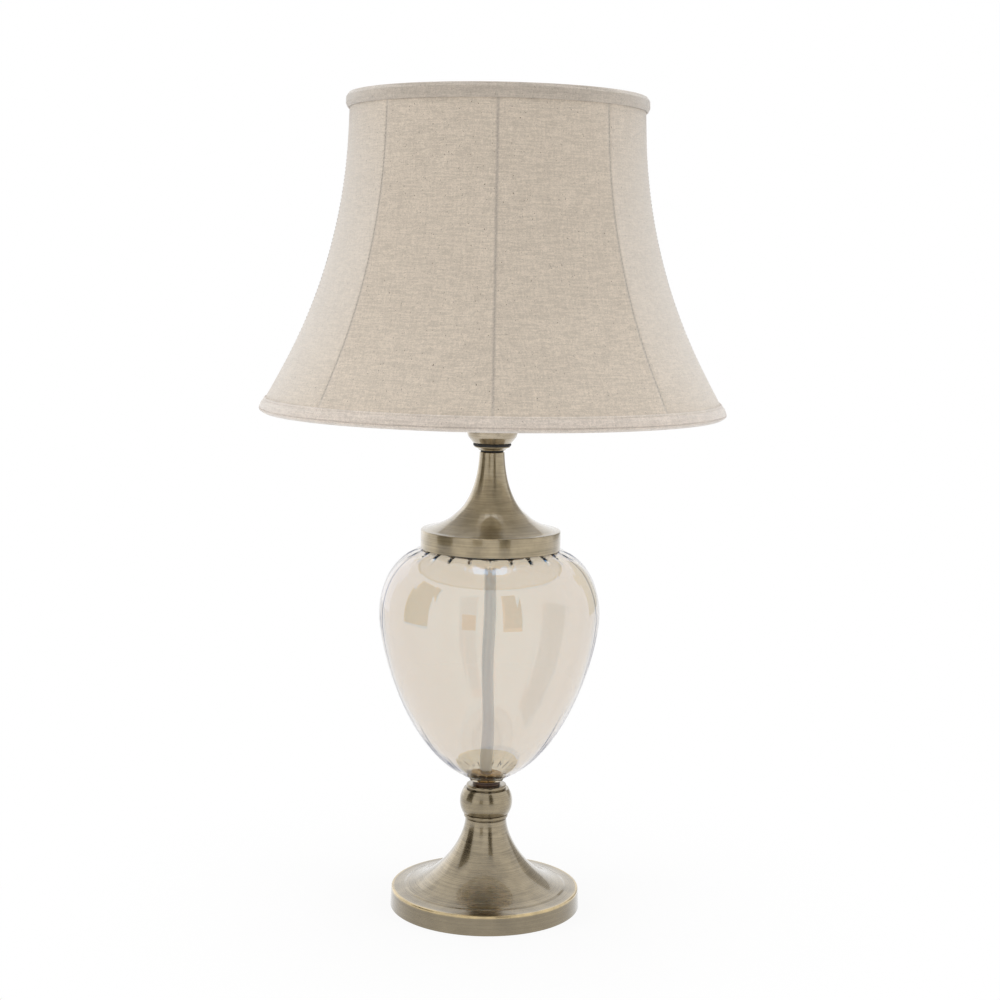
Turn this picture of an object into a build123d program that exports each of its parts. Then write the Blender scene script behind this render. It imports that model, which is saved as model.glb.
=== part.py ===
from build123d import *
import os
from math import acos, cos, pi, radians, sin, tan

os.makedirs("parts", exist_ok=True)

# A candlestick table lamp: a spun foot, a turned ball, a fluted glass vessel, a spun cap and
# a lampholder, all threaded over one centre tube, with a bell shade on a wire frame above.
# Millimetres. The origin is on the table under the middle of the foot, +Z is up, and the
# cord goes in at the back, which is +Y.

# ---------------------------------------------------------------- fits and clearances
tube_play = 0.2
nest_play = 0.3
turn_gap = 0.3
weld_gap = 0.1
seat_gap = 0.2

# ---------------------------------------------------------------- centre tube and its nuts
tube_d = 10.0
tube_bore_d = 7.5
tube_hole_r = tube_d / 2 + tube_play
nut_across_flats = 17.0
base_nut_h = 5.0
base_washer_d = 34.0
base_washer_t = 2.0
tube_below_nut = 1.0
locknut_across_flats = 14.0
locknut_h = 3.0
tube_above_locknut = 1.2

# ---------------------------------------------------------------- foot
metal_wall = 1.2
pad_t = 3.0
pad_proud = 0.5
foot_d = 161.0
foot_rim_h = 16.5
foot_rim_draft = 0.9
foot_edge_r = 1.0
foot_h = 76.1
foot_neck_d = 35.0
foot_dish_pull = 37.1
foot_neck_pull = 19.6
dish_slope = 0.06
weight_chamfer = 2.0
weight_recess_d = 38.0
weight_recess_h = 17.0
weight_boss_wall = 5.0
bush_bore_d = 6.4
bush_wall = 1.6
bush_flange = 2.2
bush_flange_t = 1.6
bush_length = 10.0
bush_h = 9.5
bush_play = 0.1

# ---------------------------------------------------------------- turned column
ring_d = 37.6
ring_groove_d = 33.2
ring_h = 5.0
ring_lip = 1.0
knop_d = 44.6
knop_low_d = 39.9
knop_high_d = 37.8
knop_belly_h = 9.4
knop_h = 20.6
collar_d = 34.0
collar_neck_d = 31.0
collar_neck_h = 0.7
collar_edge = 0.9
collar_h = 3.6

# ---------------------------------------------------------------- glass vessel
lower_gasket_d = 23.4
lower_gasket_t = 4.0
lower_gasket_groove = 0.6
glass_mouth_h = 12.8429
glass_wall = 2.4
glass_rest_d = 28.4
glass_lip_d = 31.6
glass_lip_h = 1.6
glass_bore_d = 16.0
glass_floor_h = 3.5
glass_flare_d = 37.0
glass_belly_d = 185.2
glass_belly_h = 141.7
glass_lower_round = 1.98
glass_lower_fullness = 1.5
glass_upper_pole_h = 202.5
glass_upper_round = 4.055
glass_upper_fullness = 2.055
glass_shoulder_d = 124.0
glass_mouth_d = 111.0
glass_shoulder_h = 2.2
glass_mouth_bend_r = 2.0
flute_count = 24
flute_depth = 1.3
seat_flange_d = 26.0
seat_flange_t = 3.2
seat_edge = 1.0
seat_spigot_play = 0.4

# ---------------------------------------------------------------- cap
upper_gasket_t = 1.2
plate_t = 2.4
coupling_d = 14.0
coupling_h = 22.0
cap_d = 117.0
cap_rim_h = 15.7
cap_edge_r = 1.0
cap_h = 80.7
cap_neck_d = 20.8
cap_dish_pull = 19.4
cap_neck_pull = 51.4
cap_neck_lean = 2.3
cap_slope = 0.28
neck_washer_d = 19.0
neck_washer_t = 1.8
neck_ring_foot_d = 22.6
neck_ring_d = 30.0
neck_ring_h = 3.2
neck_ring_rim_h = 1.0
neck_ring_turn_h = 1.3
neck_ring_turn_out = 1.1
cup_gasket_d = 31.6
cup_gasket_t = 2.6
cup_gasket_edge = 0.6

# ---------------------------------------------------------------- lampholder
cup_d = 42.0
cup_foot_d = 32.0
cup_turn_h = 5.2
cup_turn_inset = 0.7
cup_bowl_h = 8.0
cup_h = 24.0
cup_wall = 0.8
holder_d = 40.0
holder_wall = 2.0
holder_edge = 0.5
dome_floor_t = 3.0
dome_foot_inset = 3.0
dome_h = 24.0
dome_lip_h = 6.0
insert_d = 35.0
insert_below = 8.0
insert_flange_t = 2.5
skirt_h = 40.0
screw_shell_bore_d = 27.0
screw_shell_wall = 0.6
screw_shell_h = 21.0
contact_hole_d = 17.0
contact_strip_w = 5.0
contact_strip_t = 0.5
contact_foot_l = 4.0
contact_rise = 4.0
terminal_spacing = 20.0
terminal_head_d = 6.0
terminal_head_h = 2.2
terminal_shank_d = 3.0
terminal_slot_w = 0.8
ring_flange_d = 57.0
ring_flange_t = 1.6
ring_hub_d = 47.0
ring_hub_h = 6.0
ring_thread_play = 0.2
grip_count = 12
grip_notch_w = 3.0
grip_notch_depth = 0.9
seat_ring_h = 20.0

# ---------------------------------------------------------------- bulb
bulb_cap_d = 26.0
bulb_cap_h = 23.0
bulb_cap_skirt_d = 26.8
bulb_insulator_h = 4.0
bulb_insulator_top_d = 22.0
bulb_contact_d = 9.0
bulb_contact_t = 1.2
bulb_contact_gap = 0.3
bulb_neck_d = 25.0
bulb_neck_lean = 40.0
bulb_d = 60.0
bulb_length = 105.0
bulb_glass_wall = 0.9

# ---------------------------------------------------------------- shade
shade_lift = 2.4
fabric_t = 1.0
shade_top_d = 239.7
shade_hem_d = 380.6
shade_cloth_h = 250.0
shade_top_lean = 3.0
shade_flare = 28.0
bell_bend_r = 440.0
bell_bend_share = 0.95
strut_count = 8
strut_d = 3.0
ring_wire_d = 4.0
panel_flatness = 0.6
lining_t = 0.6
lining_inset = 5.6
lining_lift = 1.5
fitter_bore_d = 42.0
fitter_d = 60.0
fitter_weld = 0.8
fitter_t = 2.0
arm_count = 4
arm_d = 3.2
arm_level_run = 14.0
arm_bend_r = 12.0
trim_gap = 0.3
bottom_trim_h = 12.0
bottom_trim_bulge = 2.2
bottom_trim_roll_h = 3.4
bottom_trim_web = 1.7
bottom_trim_top_out = 0.7
top_trim_h = 11.5
top_trim_bulge = 3.4
top_trim_edge = 1.2
top_trim_web = 1.2
top_trim_slope_h = 2.9
wire_sides = 8

# ---------------------------------------------------------------- outline of the glass
def glass_outline(turn, inset=0.0):
    """A point of the vessel's outline, as (radius, height). At a turn of 0 it is on the belly,
    below 0 under it and above 0 over it, and at 90 degrees either way it is on the axis."""
    if turn < 0:
        pole_z = glass_z + inset
        roundness = glass_lower_round
        fullness = glass_lower_fullness
    else:
        pole_z = glass_z + glass_upper_pole_h - inset
        roundness = glass_upper_round
        fullness = glass_upper_fullness
    radius = (glass_belly_d / 2 - inset) * cos(radians(turn)) ** (2 / roundness)
    height = (pole_z - glass_belly_z) * sin(radians(abs(turn))) ** (2 / fullness)
    return radius, glass_belly_z + height


def turn_at(radius, roundness, inset=0.0):
    """The turn, in degrees, at which the outline has this radius."""
    return acos((radius / (glass_belly_d / 2 - inset)) ** (roundness / 2)) * 180 / pi


# ---------------------------------------------------------------- heights, worked out
foot_z = pad_proud
foot_rim_z = foot_z + foot_rim_h
foot_top_z = foot_z + foot_h
ring_z = foot_top_z
knop_z = ring_z + ring_h
collar_z = knop_z + knop_h
lower_gasket_z = collar_z + collar_h
glass_z = lower_gasket_z + lower_gasket_t
glass_belly_z = glass_z + glass_belly_h
glass_floor_z = glass_z + glass_floor_h
glass_shoulder_turn = turn_at(glass_shoulder_d / 2, glass_upper_round)
glass_shoulder_z = glass_outline(glass_shoulder_turn)[1]
glass_top_z = glass_shoulder_z + glass_mouth_h
upper_gasket_z = glass_top_z
plate_z = upper_gasket_z + upper_gasket_t
plate_top_z = plate_z + plate_t
cap_rim_z = plate_top_z + seat_gap + metal_wall
cap_z = cap_rim_z - cap_rim_h
cap_top_z = cap_z + cap_h
neck_washer_z = cap_top_z
neck_ring_z = neck_washer_z + neck_washer_t
cup_gasket_z = neck_ring_z + neck_ring_h
cup_z = cup_gasket_z + cup_gasket_t
dome_z = cup_z + cup_wall
locknut_z = dome_z + dome_floor_t
tube_top_z = locknut_z + locknut_h + tube_above_locknut
dome_top_z = dome_z + dome_h
insert_top_z = dome_top_z + insert_flange_t
skirt_z = dome_top_z - dome_lip_h + seat_gap
skirt_top_z = skirt_z + skirt_h
seat_ring_z = skirt_z + seat_ring_h
fitter_z = seat_ring_z + ring_hub_h + turn_gap
retaining_ring_z = fitter_z + fitter_t + turn_gap
contact_top_z = insert_top_z + contact_rise + contact_strip_t
bulb_z = contact_top_z + bulb_contact_gap

weight_z = pad_t
weight_top_z = foot_rim_z - metal_wall - seat_gap
weight_roof_z = weight_z + weight_recess_h
base_washer_z = weight_roof_z - base_washer_t
base_nut_z = base_washer_z - base_nut_h
tube_z = base_nut_z - tube_below_nut

foot_rim_top_r = foot_d / 2 - foot_rim_draft
foot_inner_r = foot_rim_top_r - metal_wall
bush_z = foot_z + bush_h
bush_r = bush_bore_d / 2 + bush_wall
bush_low_h = bush_h - bush_r - bush_flange
bush_seat_y = foot_d / 2 - foot_rim_draft * bush_low_h / (foot_rim_h - foot_edge_r)
cap_inner_r = cap_d / 2 - metal_wall
holder_r = holder_d / 2
dome_lip_r = holder_r - holder_wall / 2

# The shade's bottom wire lies just inside the hem, and the arms of the fitter meet it.
shade_hem_z = cup_z + cup_h + shade_lift + ring_wire_d
shade_top_z = shade_hem_z + shade_cloth_h
bottom_ring_z = shade_hem_z - ring_wire_d / 2 + turn_gap
bottom_ring_r = shade_hem_d / 2 - fabric_t - seat_gap - ring_wire_d / 2
strut_inset = fabric_t + seat_gap + strut_d / 2 / cos(radians(shade_flare))
top_ring_z = shade_top_z - ring_wire_d / 2


# ---------------------------------------------------------------- shared shapes
def lathe(*points):
    """The closed section with these (radius, height) corners, in the plane of the axis."""
    with BuildSketch(Plane.XZ) as section:
        with BuildLine():
            Polyline(*points, close=True)
        make_face()
    return section.sketch


def sleeve(inner_r, outer_r, low_z, high_z):
    """The section of a plain ring."""
    return lathe((inner_r, low_z), (outer_r, low_z), (outer_r, high_z), (inner_r, high_z))


# ================================================================ foot
with BuildPart() as base_pad:
    with BuildSketch():
        Circle(foot_inner_r - nest_play)
    extrude(amount=pad_t)
base_pad.part.label = "base_pad"
export_step(base_pad.part, "parts/base_pad.step")

with BuildPart() as base_weight:
    # A disc with a boss that rises inside the foot's flare, hollow below for the tube's nut.
    weight_r = foot_inner_r - nest_play
    recess_r = weight_recess_d / 2
    boss_r = recess_r + weight_boss_wall
    revolve(
        lathe(
            (tube_hole_r, weight_roof_z),
            (recess_r, weight_roof_z),
            (recess_r, weight_z),
            (weight_r, weight_z),
            (weight_r, weight_top_z - weight_chamfer),
            (weight_r - weight_chamfer, weight_top_z),
            (boss_r, weight_top_z),
            (boss_r, weight_roof_z),
            (boss_r - weight_boss_wall, weight_roof_z + weight_boss_wall),
            (tube_hole_r, weight_roof_z + weight_boss_wall),
        )
    )
    # The cord's channel runs from the bush to the hollow.
    with BuildSketch(Plane.XY.offset(weight_z)):
        with Locations((0, weight_r / 2)):
            Rectangle(2 * (bush_r + nest_play), weight_r)
    extrude(amount=weight_top_z - weight_z, mode=Mode.SUBTRACT)
base_weight.part.label = "base_weight"
export_step(base_weight.part, "parts/base_weight.step")

with BuildPart() as base_washer:
    base_washer_top = base_washer_z + base_washer_t
    revolve(sleeve(tube_hole_r, base_washer_d / 2, base_washer_z, base_washer_top))
base_washer.part.label = "base_washer"
export_step(base_washer.part, "parts/base_washer.step")

with BuildPart() as base_nut:
    with BuildSketch(Plane.XY.offset(base_nut_z)):
        RegularPolygon(nut_across_flats / 2, 6, major_radius=False)
        Circle(tube_hole_r, mode=Mode.SUBTRACT)
    extrude(amount=base_nut_h)
base_nut.part.label = "base_nut"
export_step(base_nut.part, "parts/base_nut.step")

with BuildPart() as base_foot:
    with BuildSketch(Plane.XZ):
        with BuildLine():
            rim_r = foot_d / 2
            neck_r = foot_neck_d / 2
            edge_r = foot_edge_r
            skin = Line((rim_r, foot_z), (foot_rim_top_r, foot_rim_z - edge_r))
            edge = Line(skin @ 1, (foot_rim_top_r - edge_r, foot_rim_z))
            dish_r = foot_rim_top_r - edge_r - foot_dish_pull
            dish_z = foot_rim_z + dish_slope * foot_dish_pull
            neck_z = foot_top_z - foot_neck_pull
            flare = Bezier(edge @ 1, (dish_r, dish_z), (neck_r, neck_z), (neck_r, foot_top_z))
            inside = Bezier(
                (foot_inner_r, foot_rim_z - metal_wall),
                (dish_r, dish_z - metal_wall),
                (neck_r - metal_wall, neck_z),
                (neck_r - metal_wall, foot_top_z - metal_wall),
            )
            Polyline(
                flare @ 1,
                (tube_hole_r, foot_top_z),
                (tube_hole_r, foot_top_z - metal_wall),
                inside @ 1,
            )
            Polyline(inside @ 0, (foot_inner_r, foot_z), skin @ 0)
        make_face()
    revolve()
    with BuildSketch(Plane.XZ.offset(-foot_d / 2 - bush_length)):
        with Locations((0, bush_z)):
            Circle(bush_r + bush_play)
    extrude(amount=2 * bush_length, mode=Mode.SUBTRACT)
base_foot.part.label = "base_foot"
export_step(base_foot.part, "parts/base_foot.step")

with BuildPart() as cord_bush:
    with BuildSketch(Plane.XZ.offset(-bush_seat_y - bush_flange_t)):
        with Locations((0, bush_z)):
            Circle(bush_r + bush_flange)
    extrude(amount=bush_flange_t)
    with BuildSketch(Plane.XZ.offset(-bush_seat_y - bush_flange_t)):
        with Locations((0, bush_z)):
            Circle(bush_r)
    extrude(amount=bush_length)
    with BuildSketch(Plane.XZ.offset(-bush_seat_y - bush_flange_t)):
        with Locations((0, bush_z)):
            Circle(bush_bore_d / 2)
    extrude(amount=bush_length, mode=Mode.SUBTRACT)
cord_bush.part.label = "cord_bush"
export_step(cord_bush.part, "parts/cord_bush.step")

# ================================================================ turned column
with BuildPart() as foot_ring:
    groove_r = ring_groove_d / 2
    band_r = ring_d / 2
    revolve(
        lathe(
            (tube_hole_r, ring_z),
            (groove_r, ring_z),
            (groove_r, ring_z + ring_lip),
            (band_r, ring_z + ring_lip),
            (band_r, knop_z - ring_lip),
            (groove_r, knop_z - ring_lip),
            (groove_r, knop_z),
            (tube_hole_r, knop_z),
        )
    )
    band_edges = foot_ring.edges().filter_by(GeomType.CIRCLE).sort_by(SortBy.RADIUS)[-2:]
    chamfer(band_edges, ring_lip)
foot_ring.part.label = "foot_ring"
export_step(foot_ring.part, "parts/foot_ring.step")

with BuildPart() as ball_knop:
    with BuildSketch(Plane.XZ):
        with BuildLine():
            low_end = (knop_low_d / 2, knop_z)
            high_end = (knop_high_d / 2, collar_z)
            Line((tube_hole_r, knop_z), low_end)
            ThreePointArc(low_end, (knop_d / 2, knop_z + knop_belly_h), high_end)
            Line(high_end, (tube_hole_r, collar_z))
            Line((tube_hole_r, collar_z), (tube_hole_r, knop_z))
        make_face()
    revolve()
ball_knop.part.label = "ball_knop"
export_step(ball_knop.part, "parts/ball_knop.step")

with BuildPart() as knop_collar:
    collar_r = collar_d / 2
    disc_z = collar_z + collar_neck_h
    revolve(sleeve(tube_hole_r, collar_neck_d / 2, collar_z, disc_z))
    revolve(sleeve(tube_hole_r, collar_r, disc_z, lower_gasket_z))
    disc_edges = knop_collar.edges().filter_by(GeomType.CIRCLE).sort_by(SortBy.RADIUS)[-2:]
    chamfer(disc_edges, collar_edge)
knop_collar.part.label = "knop_collar"
export_step(knop_collar.part, "parts/knop_collar.step")

# ================================================================ glass vessel
seat_spigot_r = glass_bore_d / 2 - seat_spigot_play

with BuildPart() as lower_gasket:
    # A short spool, with a shallow groove round its middle.
    spool_r = lower_gasket_d / 2
    groove_low = lower_gasket_z + (lower_gasket_t - lower_gasket_groove) / 2
    revolve(sleeve(glass_bore_d / 2, spool_r, lower_gasket_z, glass_z))
    groove = sleeve(
        spool_r - lower_gasket_groove, spool_r, groove_low, groove_low + lower_gasket_groove
    )
    revolve(groove, mode=Mode.SUBTRACT)
lower_gasket.part.label = "lower_gasket"
export_step(lower_gasket.part, "parts/lower_gasket.step")


def fluted_wire(radius, height, depth):
    """One round of the vessel at this height: a shallow outward arc for each flute."""
    step = 2 * pi / flute_count
    with BuildSketch(Plane.XY.offset(height)) as round_of_flutes:
        with BuildLine():
            for k in range(flute_count):
                ThreePointArc(
                    ((radius - depth) * cos(k * step), (radius - depth) * sin(k * step)),
                    (radius * cos((k + 0.5) * step), radius * sin((k + 0.5) * step)),
                    ((radius - depth) * cos((k + 1) * step), (radius - depth) * sin((k + 1) * step)),
                )
        make_face()
    return round_of_flutes.sketch


lower_turn = turn_at(glass_flare_d / 2, glass_lower_round)
lower_stations = 7
upper_stations = 5
glass_turns = [-lower_turn * (1 - k / lower_stations) for k in range(lower_stations)]
glass_turns += [glass_shoulder_turn * k / upper_stations for k in range(upper_stations + 1)]
rounds = []
for turn in glass_turns:
    round_r, round_z = glass_outline(turn)
    rounds.append(fluted_wire(round_r, round_z, flute_depth * round_r / (glass_belly_d / 2)))

with BuildPart() as glass_body:
    loft(rounds)
    # The lip that stands on the column.
    flare_r, flare_z = glass_outline(-lower_turn)
    revolve(
        lathe(
            (0, glass_z),
            (glass_rest_d / 2, glass_z),
            (glass_lip_d / 2, glass_z + glass_lip_h),
            (flare_r - flute_depth * flare_r / (glass_belly_d / 2), flare_z),
            (0, flare_z),
        )
    )
    # The shoulder turns up into a short straight mouth, hidden in the cap.
    shoulder_r, shoulder_z = glass_outline(glass_shoulder_turn)
    mouth_r = glass_mouth_d / 2
    with BuildSketch(Plane.XZ):
        with BuildLine():
            mouth_foot = (mouth_r, shoulder_z + glass_shoulder_h)
            corners = [(shoulder_r - flute_depth, shoulder_z), mouth_foot, (mouth_r, glass_top_z)]
            shoulder = FilletPolyline(*corners, radius=glass_mouth_bend_r)
            Polyline(shoulder @ 1, (0, glass_top_z), (0, shoulder_z), shoulder @ 0)
        make_face()
    revolve()
    # The inside: a plain bore for the spigot, a floor for the seat and a smooth wall above.
    wall_in = glass_wall + flute_depth / 2
    bore_r = glass_bore_d / 2
    floor_turn = turn_at(seat_flange_d / 2 + nest_play, glass_lower_round, wall_in)
    mouth_turn = turn_at(mouth_r - glass_wall, glass_upper_round, wall_in)
    with BuildSketch(Plane.XZ):
        with BuildLine():
            inner_turns = [-floor_turn * (1 - k / lower_stations) for k in range(lower_stations)]
            inner_turns += [mouth_turn * k / upper_stations for k in range(upper_stations + 1)]
            inner = Spline(*[glass_outline(turn, wall_in) for turn in inner_turns])
            floor_r, floor_z = glass_outline(-floor_turn, wall_in)
            Polyline(
                inner @ 0,
                (floor_r, glass_floor_z),
                (bore_r, glass_floor_z),
                (bore_r, glass_z),
                (0, glass_z),
                (0, glass_top_z),
                (mouth_r - glass_wall, glass_top_z),
                inner @ 1,
            )
        make_face()
    revolve(mode=Mode.SUBTRACT)
glass_body.part.label = "glass_body"
export_step(glass_body.part, "parts/glass_body.step")

with BuildPart() as glass_seat:
    flange_z = glass_floor_z + seat_gap
    revolve(sleeve(tube_hole_r, seat_spigot_r, lower_gasket_z, flange_z))
    revolve(sleeve(tube_hole_r, seat_flange_d / 2, flange_z, flange_z + seat_flange_t))
    rim = glass_seat.edges().group_by(Axis.Z)[-1].sort_by(SortBy.RADIUS)[-1]
    chamfer(rim, seat_edge)
glass_seat.part.label = "glass_seat"
export_step(glass_seat.part, "parts/glass_seat.step")

with BuildPart() as centre_tube:
    revolve(sleeve(tube_bore_d / 2, tube_d / 2, tube_z, tube_top_z))
centre_tube.part.label = "centre_tube"
export_step(centre_tube.part, "parts/centre_tube.step")

with BuildPart() as tube_coupling:
    revolve(sleeve(tube_hole_r, coupling_d / 2, plate_z - coupling_h, plate_z))
tube_coupling.part.label = "tube_coupling"
export_step(tube_coupling.part, "parts/tube_coupling.step")

with BuildPart() as upper_gasket:
    revolve(sleeve(glass_mouth_d / 2 - glass_wall, glass_mouth_d / 2, upper_gasket_z, plate_z))
upper_gasket.part.label = "upper_gasket"
export_step(upper_gasket.part, "parts/upper_gasket.step")

# ================================================================ cap and neck
with BuildPart() as cap_plate:
    revolve(sleeve(tube_hole_r, cap_inner_r - nest_play, plate_z, plate_top_z))
cap_plate.part.label = "cap_plate"
export_step(cap_plate.part, "parts/cap_plate.step")

with BuildPart() as top_cap:
    with BuildSketch(Plane.XZ):
        with BuildLine():
            band_r = cap_d / 2
            neck_r = cap_neck_d / 2
            edge_r = cap_edge_r
            skin = Line((band_r, cap_z), (band_r, cap_rim_z - edge_r))
            edge = Line(skin @ 1, (band_r - edge_r, cap_rim_z))
            dish_r = band_r - edge_r - cap_dish_pull
            dish_z = cap_rim_z + cap_slope * cap_dish_pull
            lean_r = neck_r + cap_neck_lean
            neck_z = cap_top_z - cap_neck_pull
            flare = Bezier(edge @ 1, (dish_r, dish_z), (lean_r, neck_z), (neck_r, cap_top_z))
            inside = Bezier(
                (cap_inner_r, cap_rim_z - metal_wall),
                (dish_r, dish_z - metal_wall),
                (lean_r - metal_wall, neck_z - metal_wall),
                (neck_r - metal_wall, cap_top_z - metal_wall),
            )
            Polyline(
                flare @ 1,
                (tube_hole_r, cap_top_z),
                (tube_hole_r, cap_top_z - metal_wall),
                inside @ 1,
            )
            Polyline(inside @ 0, (cap_inner_r, cap_z), skin @ 0)
        make_face()
    revolve()
top_cap.part.label = "top_cap"
export_step(top_cap.part, "parts/top_cap.step")

with BuildPart() as neck_washer:
    revolve(sleeve(tube_hole_r, neck_washer_d / 2, neck_washer_z, neck_ring_z))
neck_washer.part.label = "neck_washer"
export_step(neck_washer.part, "parts/neck_washer.step")

with BuildPart() as neck_ring:
    ring_foot_r = neck_ring_foot_d / 2
    ring_rim_r = neck_ring_d / 2
    ring_rim_z = cup_gasket_z - neck_ring_rim_h
    revolve(
        lathe(
            (tube_hole_r, neck_ring_z),
            (ring_foot_r, neck_ring_z),
            (ring_foot_r + neck_ring_turn_out, neck_ring_z + neck_ring_turn_h),
            (ring_rim_r, ring_rim_z),
            (ring_rim_r, cup_gasket_z),
            (tube_hole_r, cup_gasket_z),
        )
    )
neck_ring.part.label = "neck_ring"
export_step(neck_ring.part, "parts/neck_ring.step")

with BuildPart() as cup_gasket:
    revolve(sleeve(tube_hole_r, cup_gasket_d / 2, cup_gasket_z, cup_z))
    edges_out = cup_gasket.edges().filter_by(GeomType.CIRCLE).sort_by(SortBy.RADIUS)[-2:]
    chamfer(edges_out, cup_gasket_edge)
cup_gasket.part.label = "cup_gasket"
export_step(cup_gasket.part, "parts/cup_gasket.step")

# ================================================================ lampholder
with BuildPart() as holder_cup:
    cup_r = cup_d / 2
    cup_foot_r = cup_foot_d / 2
    cup_turn_z = cup_z + cup_turn_h
    cup_turn_r = cup_r - cup_turn_inset
    cup_side_z = cup_z + cup_bowl_h
    cup_top_z = cup_z + cup_h
    revolve(
        lathe(
            (tube_hole_r, cup_z),
            (cup_foot_r, cup_z),
            (cup_turn_r, cup_turn_z),
            (cup_r, cup_side_z),
            (cup_r, cup_top_z),
            (cup_r - cup_wall, cup_top_z),
            (cup_r - cup_wall, cup_side_z + cup_wall / 2),
            (cup_turn_r - cup_wall / 2, cup_turn_z + cup_wall),
            (cup_foot_r - cup_wall / 2, dome_z),
            (tube_hole_r, dome_z),
        )
    )
holder_cup.part.label = "holder_cup"
export_step(holder_cup.part, "parts/holder_cup.step")

with BuildPart() as holder_dome:
    dome_wall_r = holder_r - holder_wall
    dome_foot_r = cup_foot_d / 2 - dome_foot_inset
    dome_shoulder_z = dome_z + cup_bowl_h + cup_wall
    revolve(
        lathe(
            (tube_hole_r, dome_z),
            (dome_foot_r, dome_z),
            (holder_r, dome_shoulder_z),
            (holder_r, dome_top_z - dome_lip_h),
            (dome_lip_r, dome_top_z - dome_lip_h),
            (dome_lip_r, dome_top_z),
            (dome_wall_r, dome_top_z),
            (dome_wall_r, dome_shoulder_z + holder_wall),
            (dome_foot_r, locknut_z),
            (tube_hole_r, locknut_z),
        )
    )
holder_dome.part.label = "holder_dome"
export_step(holder_dome.part, "parts/holder_dome.step")

with BuildPart() as tube_locknut:
    with BuildSketch(Plane.XY.offset(locknut_z)):
        RegularPolygon(locknut_across_flats / 2, 6, major_radius=False)
        Circle(tube_hole_r, mode=Mode.SUBTRACT)
    extrude(amount=locknut_h)
tube_locknut.part.label = "tube_locknut"
export_step(tube_locknut.part, "parts/tube_locknut.step")

with BuildPart() as holder_insert:
    with BuildSketch(Plane.XY.offset(dome_top_z - insert_below)):
        Circle(insert_d / 2)
    extrude(amount=insert_below)
    with BuildSketch(Plane.XY.offset(dome_top_z)):
        Circle(dome_lip_r)
    extrude(amount=insert_flange_t)
    with BuildSketch(Plane.XY.offset(dome_top_z - insert_below)):
        with Locations((-terminal_spacing / 2, 0), (terminal_spacing / 2, 0)):
            Circle(terminal_shank_d / 2 + tube_play)
    extrude(amount=insert_below, mode=Mode.SUBTRACT)
holder_insert.part.label = "holder_insert"
export_step(holder_insert.part, "parts/holder_insert.step")

with BuildPart() as terminal_screws:
    head_z = dome_top_z - insert_below - terminal_head_h
    screw_places = [(-terminal_spacing / 2, 0), (terminal_spacing / 2, 0)]
    with BuildSketch(Plane.XY.offset(head_z)):
        with Locations(*screw_places):
            Circle(terminal_head_d / 2)
    extrude(amount=terminal_head_h)
    with BuildSketch(Plane.XY.offset(head_z)):
        with Locations(*screw_places):
            Rectangle(terminal_head_d, terminal_slot_w)
    extrude(amount=terminal_head_h / 2, mode=Mode.SUBTRACT)
    with BuildSketch(Plane.XY.offset(head_z + terminal_head_h)):
        with Locations(*screw_places):
            Circle(terminal_shank_d / 2)
    extrude(amount=insert_below - seat_gap)
terminal_screws.part.label = "terminal_screws"
export_step(terminal_screws.part, "parts/terminal_screws.step")

screw_shell_r = screw_shell_bore_d / 2 + screw_shell_wall

with BuildPart() as screw_shell:
    revolve(
        lathe(
            (contact_hole_d / 2, insert_top_z),
            (screw_shell_r, insert_top_z),
            (screw_shell_r, insert_top_z + screw_shell_h),
            (screw_shell_bore_d / 2, insert_top_z + screw_shell_h),
            (screw_shell_bore_d / 2, insert_top_z + screw_shell_wall),
            (contact_hole_d / 2, insert_top_z + screw_shell_wall),
        )
    )
screw_shell.part.label = "screw_shell"
export_step(screw_shell.part, "parts/screw_shell.step")

with BuildPart() as centre_contact:
    # A brass strip with its foot on the insert, bent up and over to a flat top.
    strip_back = -contact_hole_d / 2 + contact_strip_w / 2
    with BuildSketch(Plane.XZ):
        with BuildLine():
            strip = Polyline(
                (strip_back, insert_top_z),
                (strip_back + contact_foot_l, insert_top_z),
                (-contact_foot_l / 2 + contact_strip_t, contact_top_z - contact_strip_t),
                (contact_foot_l, contact_top_z - contact_strip_t),
            )
            offset(amount=contact_strip_t, side=Side.LEFT)
        make_face()
    extrude(amount=contact_strip_w / 2, both=True)
centre_contact.part.label = "centre_contact"
export_step(centre_contact.part, "parts/centre_contact.step")

with BuildPart() as holder_skirt:
    ledge_z = insert_top_z + seat_gap
    lip_bore_r = dome_lip_r + seat_gap
    shell_bore_r = screw_shell_r + seat_gap
    revolve(
        lathe(
            (lip_bore_r, skirt_z),
            (holder_r, skirt_z),
            (holder_r, skirt_top_z),
            (shell_bore_r, skirt_top_z),
            (shell_bore_r, ledge_z),
            (lip_bore_r, ledge_z),
        )
    )
    mouth_edges = holder_skirt.edges().group_by(Axis.Z)[-1]
    chamfer(mouth_edges, holder_edge)
holder_skirt.part.label = "holder_skirt"
export_step(holder_skirt.part, "parts/holder_skirt.step")


def gripped_ring(low_z, flange_up):
    """A ring that screws on the skirt: a flange, and a hub with a ring of finger notches."""
    hub_r = ring_hub_d / 2
    bore_r = holder_r + ring_thread_play
    flange_z = low_z + ring_hub_h - ring_flange_t if flange_up else low_z
    with BuildPart() as ring:
        revolve(sleeve(bore_r, hub_r, low_z, low_z + ring_hub_h))
        with BuildSketch(Plane.XY.offset(low_z)):
            with PolarLocations(hub_r, grip_count):
                Rectangle(2 * grip_notch_depth, grip_notch_w)
        extrude(amount=ring_hub_h, mode=Mode.SUBTRACT)
        revolve(sleeve(bore_r, ring_flange_d / 2, flange_z, flange_z + ring_flange_t))
    return ring.part


with BuildPart() as shade_seat_ring:
    add(gripped_ring(seat_ring_z, True))
shade_seat_ring.part.label = "shade_seat_ring"
export_step(shade_seat_ring.part, "parts/shade_seat_ring.step")

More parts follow.
